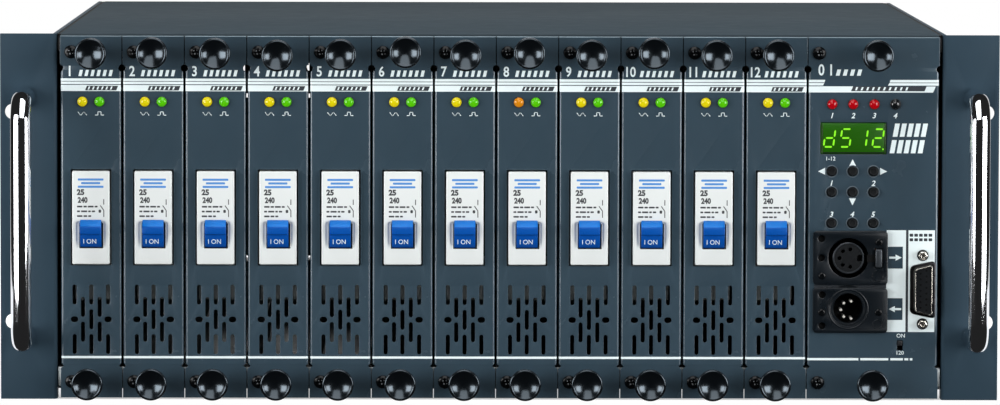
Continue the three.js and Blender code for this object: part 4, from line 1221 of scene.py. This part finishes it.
def in_connector_mesh():
    """The incoming plug: plate, cup with a lip and five pins."""
    cup = corners_of_ring(BARREL_X, CUP_CENTRE, 8.3, 64)
    rings, floors = open_holes(CONNECTOR_X - 13.6, (IN_CENTRE + 7.6, IN_CENTRE - 7.5))
    lip = [
        (7.2, -9.7), (11.2, -9.7), (11.2, 0.5), (8.4, 0.5), (8.4, 2.3), (8.1, 2.7), (7.6, 2.7),
        (7.3, 2.4), (7.2, 2.0),
    ]
    # The cup's floor is near-black painted shade.
    floor = [(0, -9.7), (11, -9.7), (11, -12), (0, -12)]
    parts = [
        (connector_plate(IN_CENTRE, IN_HEIGHT, [cup, *rings]), connector_black),
        (hoop(lip, 64, BARREL_X, CUP_CENTRE), connector_black),
        (turned(floor, 64, BARREL_X, CUP_CENTRE), hole_black),
    ]
    pin = [(0, -10), (0.65, -10), (0.65, 0.7), (0.4, 1.0), (0, 1.05)]
    for turn in (-100, -50, 0, 50, 100):
        way = math.radians(180 + turn)
        x = BARREL_X + 0.8 + CONTACT_CIRCLE * math.cos(way)
        z = CUP_CENTRE - 0.9 + CONTACT_CIRCLE * math.sin(way)
        parts.append((turned(pin, 16, x, z), pin_silver))
    return shaped(
        "incoming plug", *parts, *floors, embossed(9.5, BARREL_X, CUP_CENTRE - 0.4, 0.35),
        embossed(2.2, CONNECTOR_X + EMBOSSED_SIDE, IN_CENTRE - 6.8),
    )


def analogue_socket_mesh():
    """The fifteen-way socket: dark rim, bright shell, black insert with its holes, two nuts."""
    mouth, front = socket_corners(7.4, 23.6, 2.1, 1.0), -6.2
    inside = socket_corners(8.6, 24.6, 2.3, 1.4)
    rim = plate(socket_corners(12.3, 28.3, 2.6, 2.4, 6), [inside], 1.2, 0.3, -1.5)
    shell = plate(socket_corners(8.4, 24.6, 2.2, 1.3), [mouth], 6.8, 0.15, -6.8)
    parts = [
        (rim, socket_dark), (shell, socket_steel), (prism(mouth, front, 8, "Y"), insert_black),
    ]
    # The insert's holes are near-black dots: painted shade.
    for column, count in ((1.42, 8), (-1.42, 7)):
        for row in range(count):
            z = SOCKET_CENTRE + (row - (count - 1) / 2) * 2.76
            parts.append((mark(corners_of_ring(SOCKET_X + column, z, 0.55, 12), front), hole_black))
    nut = [
        (0, -3), (2.3, -3), (2.3, 3.6), (2.1, 4.0), (1.5, 4.2), (1.05, 4.1), (0.95, 1.5), (0, 1.5),
    ]
    ring = [(1.9, 0), (2.75, 0), (2.75, 0.7), (2.55, 0.9), (1.9, 0.9)]
    for side in (-1, 1):
        z = SOCKET_CENTRE + side * JACK_REACH
        parts.append((moved(rounded(lathe(nut, 6), 0.15, 2, 20), SOCKET_X, 0, z), socket_steel))
        parts.append((hoop(ring, 32, SOCKET_X, z), socket_dark))
    return shaped("analogue socket", *parts)


def triangle(x, z, size, way):
    """A triangle that points left, right, up or down."""
    turn = math.radians(90 * ("right", "up", "left", "down").index(way))
    c, s = math.cos(turn), math.sin(turn)
    corners = ((-size / 2, -size / 2), (size / 2, 0), (-size / 2, size / 2))
    return [(x + a * c - b * s, z + a * s + b * c) for a, b in corners]


def control_print():
    """All printed marks of the control module: plain numbers, triangles, patches and arrows."""
    parts = [(lettering("0 1", 5.6, -23.6, 160.2, bold=0.02, narrow=0.8), white_print)]
    parts += bars(4, -17.2, 3.4, 158.9, 1.8, 3.0, 0.8, white_print)
    parts += bars(1, 7.2, 0, 151.1, 35.5, 2.3, 1.0, dark_print)
    parts += bars(10, -8.4, 2.7, 151.1, 0.9, 1.6, 0.6, white_print, -INK)
    left, mid, right = BUTTON_COLUMNS
    top, second, _ = BUTTON_ROWS

    def numbers(*places):
        for text, x, z in places:
            label = lettering(text, 2.6, x, z, bold=0.02, lean=0.25)
            parts.append((label, white_print))

    def small_label(text, x, z):
        parts.append((lettering(text, 1.9, x, z, bold=0.005), white_print))

    numbers(*((str(count + 1), x, 138.1) for count, x in enumerate(STATUS_LAMPS)))
    small_label("1-12", -20.6, 117.3)
    for x, z, way in (
        (left - 4.9, top, "left"), (mid, top + 4.2, "up"), (right + 4.9, top, "right"),
        (mid, second - 4.7, "down"),
    ):
        parts.append((mark(triangle(x, z, 3.4, way)), white_print))
    numbers(
        ("1", left, 105.4), ("2", right, 105.4), ("3", left, 90.3), ("4", mid, 90.3),
        ("5", right, 90.3),
    )
    parts += bars(5, 10.2, 3.4, 127.1, 2.3, 14.4, 2.6, white_print)
    parts += bars(1, 17.0, 0, 127.1, 17.6, 1.6, 0.3, panel_paint, -INK)
    parts.append(box_mark(CONNECTOR_X, 55.45, CONNECTOR_WIDTH - 1.2, 3.0, 0.2, dark_print))
    for x, width, radius, ink in (
        (11.3, 9.4, 0.2, white_print), (16.6, 1.2, 0.1, dark_print), (23.6, 12.8, 0.2, white_print),
    ):
        parts.append(box_mark(x, 57.9, width, 49.4, radius, ink))
    x = 10.9
    for z, way, side in ((69.3, "right", 1), (44.3, "left", -1)):
        parts.append(box_mark(x, z, 7.2, 10.6, 0.1, panel_paint, -INK))
        parts.append((mark(triangle(x + side * 1.6, z, 3.0, way), -2 * INK), white_print))
        parts.append(box_mark(x - side * 1.4, z, 3.2, 1.0, 0.1, white_print, -2 * INK))
    for row in range(2):
        for dash in range(5):
            x = 18.6 + 2.3 * dash
            parts.append(box_mark(x, 80.2 - 2.2 * row, 1.7, 1.4, 0.2, dark_print, -INK))
    small_label("ON", SLIDER_X + 0.4, 31.4)
    small_label("120", SLIDER_X + 0.2, 23.1)
    return shaped("control print", *parts)


def transformer_mesh():
    """The transformer of the control supply: laminated core and taped winding."""
    root = -CONTROL_PITCH / 2 + CARRIER_INSET + SHEET
    leaf, leaves = 1.4, 30
    parts = [
        (block((root, root + 41), (150, 192), (67 + leaf * step, 68.2 + leaf * step)), zinc)
        for step in range(leaves)
    ]
    # The taped winding borrows the orange lamp's material, so it glows faintly: painted light.
    parts.append((block((root + 8, root + 33), (142, 200), (76, 100), 2.5, 3), lamp_orange))
    return shaped("transformer", *parts)


def key_board_mesh():
    """The board behind the display and the buttons, on its pillars."""
    pillar = [(0, -15), (2.5, -15), (2.5, -1), (0, -1)]
    return shaped(
        "key board", (block((-28, 28), (14, 16), (82, 152), 0.2, 1), board_green),
        *((turned(pillar, 6, x, z), gold) for x in (-25.5, 25.5) for z in (84.5, 149.5)),
        (block((-26, -14), (16, 19), (112, 136), 0.4), soft_black),
        (block((-6, 12), (16, 18.5), (104, 112), 0.4), soft_black),
    )


def build_control_module():
    """The control module with its connectors, buttons and switches."""
    centre = middle("control_module")

    def add(name, mesh, x=0.0, y=0.0, z=0.0, body="control", instead_of=()):
        place(name, mesh, body, centre + x, y, z, instead_of)

    add("control_panel", control_panel(), instead_of=["control_module"])
    place_fittings("control_", "control", 12, centre, CONTROL_PITCH)
    red, dark = lamp_mesh(lamp_red), lamp_mesh(lamp_dark)
    for number, (x, lamp) in enumerate(zip(STATUS_LAMPS, (red, red, red, dark)), 1):
        add(f"status_lamp_{number}", lamp, x, z=STATUS_LAMP_Z)
    add("control_display", display_mesh(), instead_of=["display_window"])
    button = button_mesh()
    for number, name in enumerate(BUTTON_NAMES):
        x, z, node = BUTTON_COLUMNS[number % 3], BUTTON_ROWS[number // 3], "button_" + name
        add(name + "_button", button, x, z=z, body=node, instead_of=[node])
    add("outgoing_socket", out_connector_mesh(), instead_of=["xlr_out"])
    add("incoming_plug", in_connector_mesh(), instead_of=["xlr_in"])
    low, high = limits("xlr_latch")
    latch = block(
        (-1.6, 1.6), (low.y - FACE, high.y - FACE),
        (low.z - OUT_CENTRE, high.z - OUT_CENTRE), 0.5, 3,
    )
    add(
        "socket_latch", shaped("latch", (latch, latch_steel)),
        LATCH_SLOT[0], z=OUT_CENTRE, body="xlr_latch", instead_of=["xlr_latch"],
    )
    small = screw_mesh(1.7, 0.9)
    for name, x, z in (
        ("socket_screw_1", -13.7, 60.5), ("socket_screw_2", 13.8, 76.8),
        ("plug_screw_1", -13.8, 42.8), ("plug_screw_2", 13.7, 42.8),
    ):
        add(name, small, CONNECTOR_X + x, -2.2, z)
    socket = analogue_socket_mesh()
    add("fifteen_way_socket", socket, instead_of=["analogue_socket"])
    low, high = limits("terminate_switch")
    slider = block((-1.1, 1.1), (low.y - FACE, high.y - FACE), (-1.15, 1.15), 0.2, 2)
    add(
        "termination_slider", shaped("slider", (slider, soft_black)), SLIDER_X,
        z=(low.z + high.z) / 2, body="terminate_switch", instead_of=["terminate_switch"],
    )
    # A near-black box behind the slider's hole: painted shade.
    housing = block(
        (SLIDER_X - 3.5, SLIDER_X + 3.5), (3.0, 9.3), (SLIDER_CENTRE - 7, SLIDER_CENTRE + 7), 0.4,
    )
    add("slider_housing", shaped("slider housing", (housing, hole_black)))
    add("control_print", control_print())
    add("control_carrier", carrier_mesh(CONTROL_PITCH))
    add("control_transformer", transformer_mesh())
    add("control_key_board", key_board_mesh())
    add("control_blade", blade_mesh(CONTROL_PITCH))


build_control_module()


# Chassis


tray_low, tray_high = limits("chassis_tray")
cover_low, cover_high = limits("top_cover")
TRAY_HALF, COVER_HALF = (tray_high.x - tray_low.x) / 2, (cover_high.x - cover_low.x) / 2
BASE, HEAD, BACK = tray_low.z, cover_high.z, cover_high.y - FACE
WALL_TOP = HEAD - SHEET - 0.3
EAR_SHEET = 2.0
EAR_EDGE = limits("right_side_ear")[1].x
FAN_X, _, FAN_Z = joint_place("fan_spin")
FAN_BORE = 56.5
FAN_BLADES = 7
FAN_SCREWS = [(FAN_X + a, FAN_Z + b) for a in (-52.5, 52.5) for b in (-52.5, 52.5)]
GUIDE_LENGTH = (14, 285)
DUCT_SHEET = 1.5
CARRIERS = [
    middle("dimmer_module_01") - MODULE_PITCH / 2 + CARRIER_INSET + SHEET / 2 + bay * MODULE_PITCH
    for bay in range(len(MODULES) + 1)
]
GLAND = (187.95, 46.0)
KNOCKOUTS = [(39.95 + 42 * column, z) for column in range(3) for z in (60, 104)]


def handle_mesh():
    """A chrome handle: one rod with two bends."""
    low, high = limits("left_handle")
    rod = (high.x - low.x) / 2
    reach, half = FACE - low.y - rod, (high.z - low.z) / 2 - rod
    bend = 11.0
    quarter = [
        (0, -(reach - bend) - bend * math.sin(t), half - bend + bend * math.cos(t))
        for t in (math.pi / 2 * step / 14 for step in range(15))
    ]
    upper = [(0, -0.3, half), *quarter]
    path = upper + [(x, y, -z) for x, y, z in reversed(upper)]
    return shaped("handle", (tube(path, rod, 48), chrome), smooth=50)


def side_sheet_mesh(side):
    """A side sheet bent outwards as the rack ear, with its two slots. Side is 1 for the right."""
    inner, outer = TRAY_HALF + 0.3, TRAY_HALF + 0.3 + EAR_SHEET
    bend = [
        (outer - EAR_SHEET * math.sin(t), EAR_SHEET - EAR_SHEET * math.cos(t))
        for t in (math.pi / 2 * step / 6 for step in range(7))
    ]
    corners = [
        (EAR_EDGE, 0), *bend, (inner, BACK), (outer, BACK), (outer, EAR_SHEET),
        (EAR_EDGE, EAR_SHEET),
    ]
    sheet = prism([(side * x, y) for x, y in corners], 0, HEAD, "Z")
    cutters = [block(span(side, inner - 1, outer + 1), (9, BACK + 1), (-1, BASE))]
    for height in (-50.8, 50.8):
        slot = corners_of_slot(side * (EAR_EDGE - 8.2), HEAD / 2 + height, 11.8, 7.5, 12)
        cutters.append(prism(slot, -1, EAR_SHEET + 1, "Y"))
    sheet = rounded(carved(sheet, *cutters), 0.3, 2, 40)
    lip = block(
        span(side, inner - 12, inner + 0.5), (299.5, BACK - 2), (WALL_TOP - 2, WALL_TOP), 0.2, 1,
    )
    return shaped("side sheet", (sheet, ears_with_painted_shade), (lip, ears_with_painted_shade))


def guide_mesh(base, edge, way):
    """The grooved guides of all carriers: way is 1 below, where they open upwards, or -1 above."""
    slot, half = 1.05, 1.85
    mouth, bottom = edge + way * 5, edge - way * 0.3
    right = [
        (half, base), (half, mouth - way * 0.4), (half - 0.3, mouth), (slot + 0.2, mouth),
        (slot, mouth - way * 0.6), (slot, bottom),
    ]
    left = [(-x, z) for x, z in reversed(right)]
    corners = [left[-1], *right, *left[:-1]]
    return shaped("guides", *(
        (prism([(x + a, z) for a, z in corners], *GUIDE_LENGTH, "Y"), soft_black) for x in CARRIERS
    ))


def rail_mesh(low, high, material):
    """A front rail for the panels' screws."""
    rail = block((-TRAY_HALF, TRAY_HALF), (1.8, 10.8), (low, high), 0.4, 2)
    return shaped("rail", (rail, material))


def tray_mesh():
    """The floor with its folded lips and the two posts of the backplane."""
    top = BASE + SHEET
    parts = [(block((-TRAY_HALF, TRAY_HALF), (1.8, BACK - 1), (BASE, top), 0.2, 1), zinc)]
    for side in (-1, 1):
        lip = span(side, TRAY_HALF, TRAY_HALF - SHEET)
        post = span(side, TRAY_HALF - 1, TRAY_HALF - 15)
        parts.append((block(lip, (9.4, BACK - 1), (BASE, top + 9), 0.2, 1), zinc))
        parts.append((block(post, (301.6, 303.1), (top, 130), 0.2, 1), zinc))
    return shaped("tray", *parts)


def rear_wall_mesh():
    """The rear wall with the fan's mouth and the cable hole."""
    outer = [(-TRAY_HALF, BASE), (TRAY_HALF, BASE), (TRAY_HALF, WALL_TOP), (-TRAY_HALF, WALL_TOP)]
    holes = [corners_of_ring(FAN_X, FAN_Z, FAN_BORE, 96), corners_of_ring(*GLAND, 8.2, 40)]
    return shaped("rear wall", (plate(outer, holes, SHEET, 0.2, BACK - SHEET), zinc))


def behind(profile, sides, x, z):
    """A round shape on the rear wall, from pairs of radius and reach out of it."""
    return moved(lathe([(radius, -BACK - reach) for radius, reach in profile], sides), x, 0, z)


def cable_entries_mesh():
    """Closed knock-outs, scored round their rims, each with a slot for a screwdriver."""
    profile = [
        (0, 0.8), (7.2, 0.8), (7.4, 0.5), (7.7, 0.5), (7.9, 0.8), (10.6, 0.8), (11, 0.5),
        (11, -0.2), (0, -0.2),
    ]
    parts = []
    for x, z in KNOCKOUTS:
        parts.append((behind(profile, 48, x, z), zinc))
        # The screwdriver slot is a thin near-black mark: painted shade.
        slot = block((x - 3, x + 3), (BACK + 0.8, BACK + 0.85), (z - 0.5, z + 0.5))
        parts.append((slot, hole_black))
    return shaped("knock-outs", *parts)


def gland_mesh():
    """The mains cable gland: hexagon nut, ribbed dome and rubber seal round an open bore."""
    nut = behind([(8, -0.6), (14.9, -0.6), (14.9, 7), (13.6, 8), (8, 8), (8, -0.6)], 6, *GLAND)
    ribs = behind([
        (8, 7), (10.9, 7.5), (10.9, 12), (10.2, 12.4), (10.2, 13), (10.9, 13.4), (10.4, 15),
        (9.3, 16), (8, 16), (8, 7),
    ], 24, *GLAND)
    seal = behind([
        (8.2, -1.6), (8.2, 14.6), (7.3, 14.6), (7.1, 14.2), (7.1, -1.6), (8.2, -1.6),
    ], 40, *GLAND)
    nut = rounded(nut, 0.3, 2, 20)
    return shaped("gland", (nut, soft_black), (ribs, soft_black), (seal, hole_black))


def fan_frame_mesh():
    """The fan's square frame with its round bore, the motor mount and its four struts."""
    front = BACK - SHEET - 25
    outer = corners_of_box(FAN_X, FAN_Z, 119, 119, 5, 6)
    bore = corners_of_ring(FAN_X, FAN_Z, FAN_BORE, 96)
    holes = [corners_of_ring(x, z, 2.2, 16) for x, z in FAN_SCREWS]
    parts = [(plate(outer, [bore, *holes], 24.7, 0.5, front), soft_black)]
    mount = [(2.7, -5), (2.7, 0), (18.4, 0), (19, -0.6), (19, -4.7), (2.7, -4.7), (2.7, -5)]
    depth = front + 20.2
    parts.append((turned([(0, -5), *mount], 64, FAN_X, FAN_Z, depth), soft_black))
    for turn in range(4):
        strut = block((17, FAN_BORE + 1), (0, 4.6), (-2.5, 2.5), 0.6, 2)
        spin = Matrix.Rotation(math.pi / 2 * turn, 3, "Y")
        bmesh.ops.rotate(strut, verts=strut.verts, matrix=spin)
        parts.append((moved(strut, FAN_X, depth, FAN_Z), soft_black))
    return shaped("fan frame", *parts)


def fan_guard_mesh():
    """The wire guard: rings on four spokes with a disc in the middle, and the fan's screws."""
    parts = []
    for ring in range(1, 6):
        circle = corners_of_ring(FAN_X, FAN_Z, 15 + 41.5 * ring / 6, 64)
        path = [(a, BACK - 0.8, b) for a, b in circle]
        parts.append((tube(path, 0.75, 10, closed=True), chrome))
    for turn in turns(4):
        a, b = math.cos(turn), math.sin(turn)
        path = [(FAN_X + a * r, BACK - 0.9, FAN_Z + b * r) for r in (12, FAN_BORE + 0.3)]
        parts.append((tube(path, 0.8, 10), chrome))
    disc = [(0, 0), (14.6, 0), (15, -0.4), (15, -1.2), (0, -1.2)]
    parts.append((behind(disc, 64, FAN_X, FAN_Z), chrome))
    head = [(0, 0), (4, 0), (4, 0.8), (3.4, 1.6), (2, 2.1), (0, 2.2)]
    for x, z in FAN_SCREWS:
        parts.append((behind(head, 32, x, z), screw_black))
        # Each screw's slot is a thin near-black mark: painted shade.
        slot = block((x - 2, x + 2), (BACK + 2.15, BACK + 2.25), (z - 0.35, z + 0.35))
        parts.append((slot, hole_black))
    return shaped("fan guard", *parts)


def fan_blade(number):
    """One twisted blade of the fan, drawn about the fan's axis."""
    steps, across = 8, 8
    shape = bmesh.new()
    rings = []
    for step in range(steps + 1):
        share = step / steps
        pitch = math.radians(36 - 14 * share)
        front, back = [], []
        for k in range(across + 1):
            u = -1 + 2 * k / across
            bow, half = 2.4 * (1 - u * u), 0.2 + 0.6 * math.sqrt(max(0, 1 - u * u))
            for row, v in ((front, bow + half), (back, bow - half)):
                x = 9.9 * u * math.cos(pitch) - v * math.sin(pitch)
                y = 9.9 * u * math.sin(pitch) + v * math.cos(pitch)
                row.append((x, y - 12.8, 18 + 35.4 * share))
        rings.append([shape.verts.new(point) for point in front + back[::-1]])
    count = len(rings[0])
    for near, far in zip(rings, rings[1:]):
        for k in range(count):
            after = (k + 1) % count
            shape.faces.new((near[k], near[after], far[after], far[k]))
    shape.faces.new(rings[0])
    shape.faces.new(rings[-1])
    bmesh.ops.recalc_face_normals(shape, faces=shape.faces)
    spin = Matrix.Rotation(turns(FAN_BLADES)[number], 3, "Y")
    bmesh.ops.rotate(shape, verts=shape.verts, matrix=spin)
    return shape


def rotor_mesh():
    """The fan's rotor: a hollow hub on its shaft with seven twisted blades."""
    hub = [
        (0, 20.3), (17.8, 20.3), (19, 19.2), (19, 5.6), (18.7, 5.3), (17.5, 5.3), (17.5, 8), (0, 8),
    ]
    shaft = [(0, 9), (2.4, 9), (2.4, 1.5), (0, 1.3)]
    blades = ((fan_blade(number), soft_black) for number in range(FAN_BLADES))
    return shaped("rotor", (lathe(hub, 64), soft_black), (lathe(shaft, 24), zinc), *blades)


def backplane_meshes():
    """The board with rows of contacts, and the socket for one module's blade."""
    low, high = limits("backplane")
    front, centre, tall = high.y - FACE - 2, 88, 28.3
    parts = [(block((low.x, high.x), (front, front + 2), (low.z, high.z), 0.2, 1), board_green)]
    for carrier in CARRIERS:
        x = carrier + BLADE_SHIFT - 4
        for line in range(6):
            row = (x + 1.6 * line, x + 0.6 + 1.6 * line)
            parts.append((block(row, (front + 2, front + 2.04), (54, 122)), gold))
    body = block(
        (-3.05, 3.05), (CARRIER_BACK - 11.7, front + 1), (centre - tall, centre + tall), 0.4, 2,
    )
    slot = block(
        (-1.05, 1.05), (CARRIER_BACK - 14, CARRIER_BACK + 0.3),
        (centre - tall + 2, centre + tall - 2),
    )
    socket = shaped("backplane socket", (carved(body, slot), insert_black))
    return shaped("backplane board", *parts), socket


def duct_mesh():
    """The slotted duct for the wires above the backplane, with its lid, ends and feet."""
    low, high, front, back, half = 132, 170, 304, 340, 204
    wall = [(-half, low), (half, low), (half, high), (-half, high)]
    slots = [corners_of_slot(x, low + 22, 4, 24, 4) for x in range(-198, 199, 9)]
    parts = [
        (plate(wall, slots, DUCT_SHEET, 0.1, y), soft_black) for y in (front, back - DUCT_SHEET)
    ]
    parts.append((block((-half, half), (front, back), (low, low + DUCT_SHEET)), soft_black))
    lid = block((-half - 0.5, half + 0.5), (front - 0.8, back + 0.8), (high - 2, high), 0.5, 2)
    parts.append((lid, soft_black))
    for x in (-206.4, 206.4):
        end = block((x - 1.8, x + 1.8), (front, back), (low, high - 2), 0.3, 1)
        parts.append((end, soft_black))
    for x in (-208, 208):
        foot = block((x - 5.4, x + 5.4), (front + 4, front + 20), (BASE + SHEET, low + 1), 0.3, 1)
        parts.append((foot, shaded_zinc))
    return shaped("cable duct", *parts)


def build_chassis():
    """Cover, tray, rails, guides, rear wall, fan, backplane, side sheets and handles."""
    inner = COVER_HALF - 1.2  # a dark joint runs along both sides of the cover
    cover = [(block((-inner, inner), (2.3, BACK), (HEAD - SHEET, HEAD), 0.3, 2), cover_paint)]
    for side in (-1, 1):
        joint = block(span(side, inner - 0.4, COVER_HALF), (2.3, BACK), (HEAD - SHEET, HEAD - 0.15))
        cover.append((joint, hole_black))
    foot, head, ceiling = PANEL_FOOT + RAIL_EDGE, PANEL_HEAD - RAIL_EDGE, HEAD - SHEET
    place("cover", shaped("cover", *cover), "chassis", instead_of=["top_cover"])
    for name, mesh, slot, nodes in (
        # The upper rail is zinc, drawn near-black as painted shade.
        ("upper_rail", rail_mesh(ceiling - 7, ceiling, hole_black), "zinc_steel", ()),
        ("upper_guides", guide_mesh(ceiling, head - 2.0, -1), "black_plastic", ()),
        ("tray", tray_mesh(), "zinc_steel", ["chassis_tray"]),
        ("lower_rail", rail_mesh(BASE, foot, shaded_zinc), "zinc_steel", ()),
        ("lower_guides", guide_mesh(BASE + SHEET, foot + 2.0, 1), "black_plastic", ()),
        ("rear_wall", rear_wall_mesh(), "zinc_steel", ()),
        ("cable_entries", cable_entries_mesh(), "zinc_steel", ()),
        ("cable_duct", duct_mesh(), "black_plastic", ()),
        ("mains_gland", gland_mesh(), "black_plastic", ()),
        ("fan_frame", fan_frame_mesh(), "black_plastic", ()),
        ("fan_guard", fan_guard_mesh(), "chrome", ()),
    ):
        place(name, mesh, "chassis", instead_of=nodes)
    rotor = rotor_mesh()
    place("rotor", rotor, "fan", FAN_X, BACK - SHEET, FAN_Z, ["fan_rotor"])
    board, socket = backplane_meshes()
    place("backplane_board", board, "chassis", instead_of=["backplane"])
    for bay, x in enumerate(CARRIERS, 1):
        place(f"backplane_socket_{bay}", socket, "chassis", x + BLADE_SHIFT)
    handle = handle_mesh()
    for side, word in ((-1, "left"), (1, "right")):
        sheet, ear, grip = side_sheet_mesh(side), word + "_side_ear", word + "_handle"
        place(word + "_side_sheet", sheet, "chassis", instead_of=[ear])
        low, high = limits(grip)
        x, z = (low.x + high.x) / 2, (low.z + high.z) / 2
        place(word + "_front_handle", handle, "chassis", x, z=z, instead_of=[grip])


build_chassis()


# Studio


def white_where_seen(material, strength):
    """The floor keeps its shadow and shows as white in the picture, in metal and in glass."""
    tree = material.node_tree
    path = add_node(tree, "LightPath").outputs
    seen = path["Is Camera Ray"]
    for ray in ("Is Glossy Ray", "Is Transmission Ray"):
        either = add_node(tree, "Math", {0: seen, 1: path[ray]}, operation="MAXIMUM")
        seen = either.outputs["Value"]
    shine = add_node(tree, "Math", {0: seen, 1: strength}, operation="MULTIPLY")
    light = add_node(tree, "Emission", {"Strength": shine.outputs["Value"]})
    paint = tree.nodes["Principled BSDF"].outputs["BSDF"]
    both = add_node(tree, "AddShader", {0: paint, 1: light.outputs["Emission"]})
    tree.links.new(both.outputs["Shader"], tree.nodes["Material Output"].inputs["Surface"])


def studio_world(sides, front):
    """A white backdrop behind the pack, dim sides in reflections and an even soft light."""
    world = bpy.data.worlds.new("studio")
    bpy.context.scene.world = world
    world.use_nodes = True
    tree = world.node_tree
    tree.nodes.clear()
    white = (1, 1, 1, 1)
    path = add_node(tree, "LightPath").outputs
    where = add_node(tree, "TexCoord").outputs["Generated"]
    behind_pack = add_node(tree, "SeparateXYZ", {"Vector": where}).outputs["Y"]
    backdrop = add_node(tree, "MapRange", {
        "From Min": 0.8, "From Max": 0.97, "To Min": front, "To Max": 1.0, "Value": behind_pack,
    }, interpolation_type="SMOOTHSTEP")
    bright = {0: backdrop.outputs["Result"], 1: path["Is Camera Ray"]}
    bright = add_node(tree, "Math", bright, operation="MAXIMUM").outputs["Value"]
    seen = add_node(tree, "Background", {"Color": white, "Strength": bright})
    diffuse = add_node(tree, "Background", {"Color": white, "Strength": sides})
    both = add_node(tree, "MixShader", {
        "Fac": path["Is Diffuse Ray"], 1: seen.outputs["Background"],
        2: diffuse.outputs["Background"],
    })
    add_node(tree, "OutputWorld", {"Surface": both.outputs["Shader"]})


def studio():
    """A pale floor, soft lights from both sides and above, and panels seen in reflections alone."""
    scene = bpy.context.scene
    scene.view_settings.view_transform = "Standard"
    front, back, half = -0.1845, 1.0, 0.8  # the floor begins level with the panels
    corners = [(-half, front, 0), (half, front, 0), (half, back, 0), (-half, back, 0)]
    ground = bpy.data.meshes.new("floor")
    ground.from_pydata(corners, [], [(0, 1, 2, 3)])
    ground.materials.append(floor_white)
    floor = bpy.data.objects.new("floor", ground)
    scene.collection.objects.link(floor)
    white_where_seen(floor_white, 0.45)
    target = Vector((0, -0.15, 0.09))
    for name, spot, size, power, way in (
        ("right_light", (1.95, -1.5, 0.3), (1.5, 1.5), 38, None),
        ("left_light", (-1.95, -1.5, 0.3), (1.5, 1.5), 38, None),
        ("top_light", (0.0, -0.2, 2.6), (2.4, 1.8), 48, None),
        ("right_panel", (0.705, -0.54, 0.2), (0.53, 0.42), 8.4, (-0.455, 0.89, 0)),
        ("left_panel", (-0.705, -0.54, 0.2), (0.53, 0.42), 8.4, (0.455, 0.89, 0)),
        ("top_panel", (0.0, -0.5, 0.66), (0.56, 0.93), 6.5, (0, 0.514, -0.857)),
    ):
        data = bpy.data.lights.new(name, "AREA")
        data.shape = "RECTANGLE"
        data.size, data.size_y = size
        data.energy = power
        lamp = bpy.data.objects.new(name, data)
        scene.collection.objects.link(lamp)
        lamp.location = spot
        lamp.visible_camera = False
        lamp.visible_glossy = way is not None
        lamp.visible_diffuse = way is None
        aim = Vector(way) if way else target - lamp.location
        lamp.rotation_euler = aim.to_track_quat("-Z", "Y").to_euler()
    studio_world(0.33, 0.02)


studio()
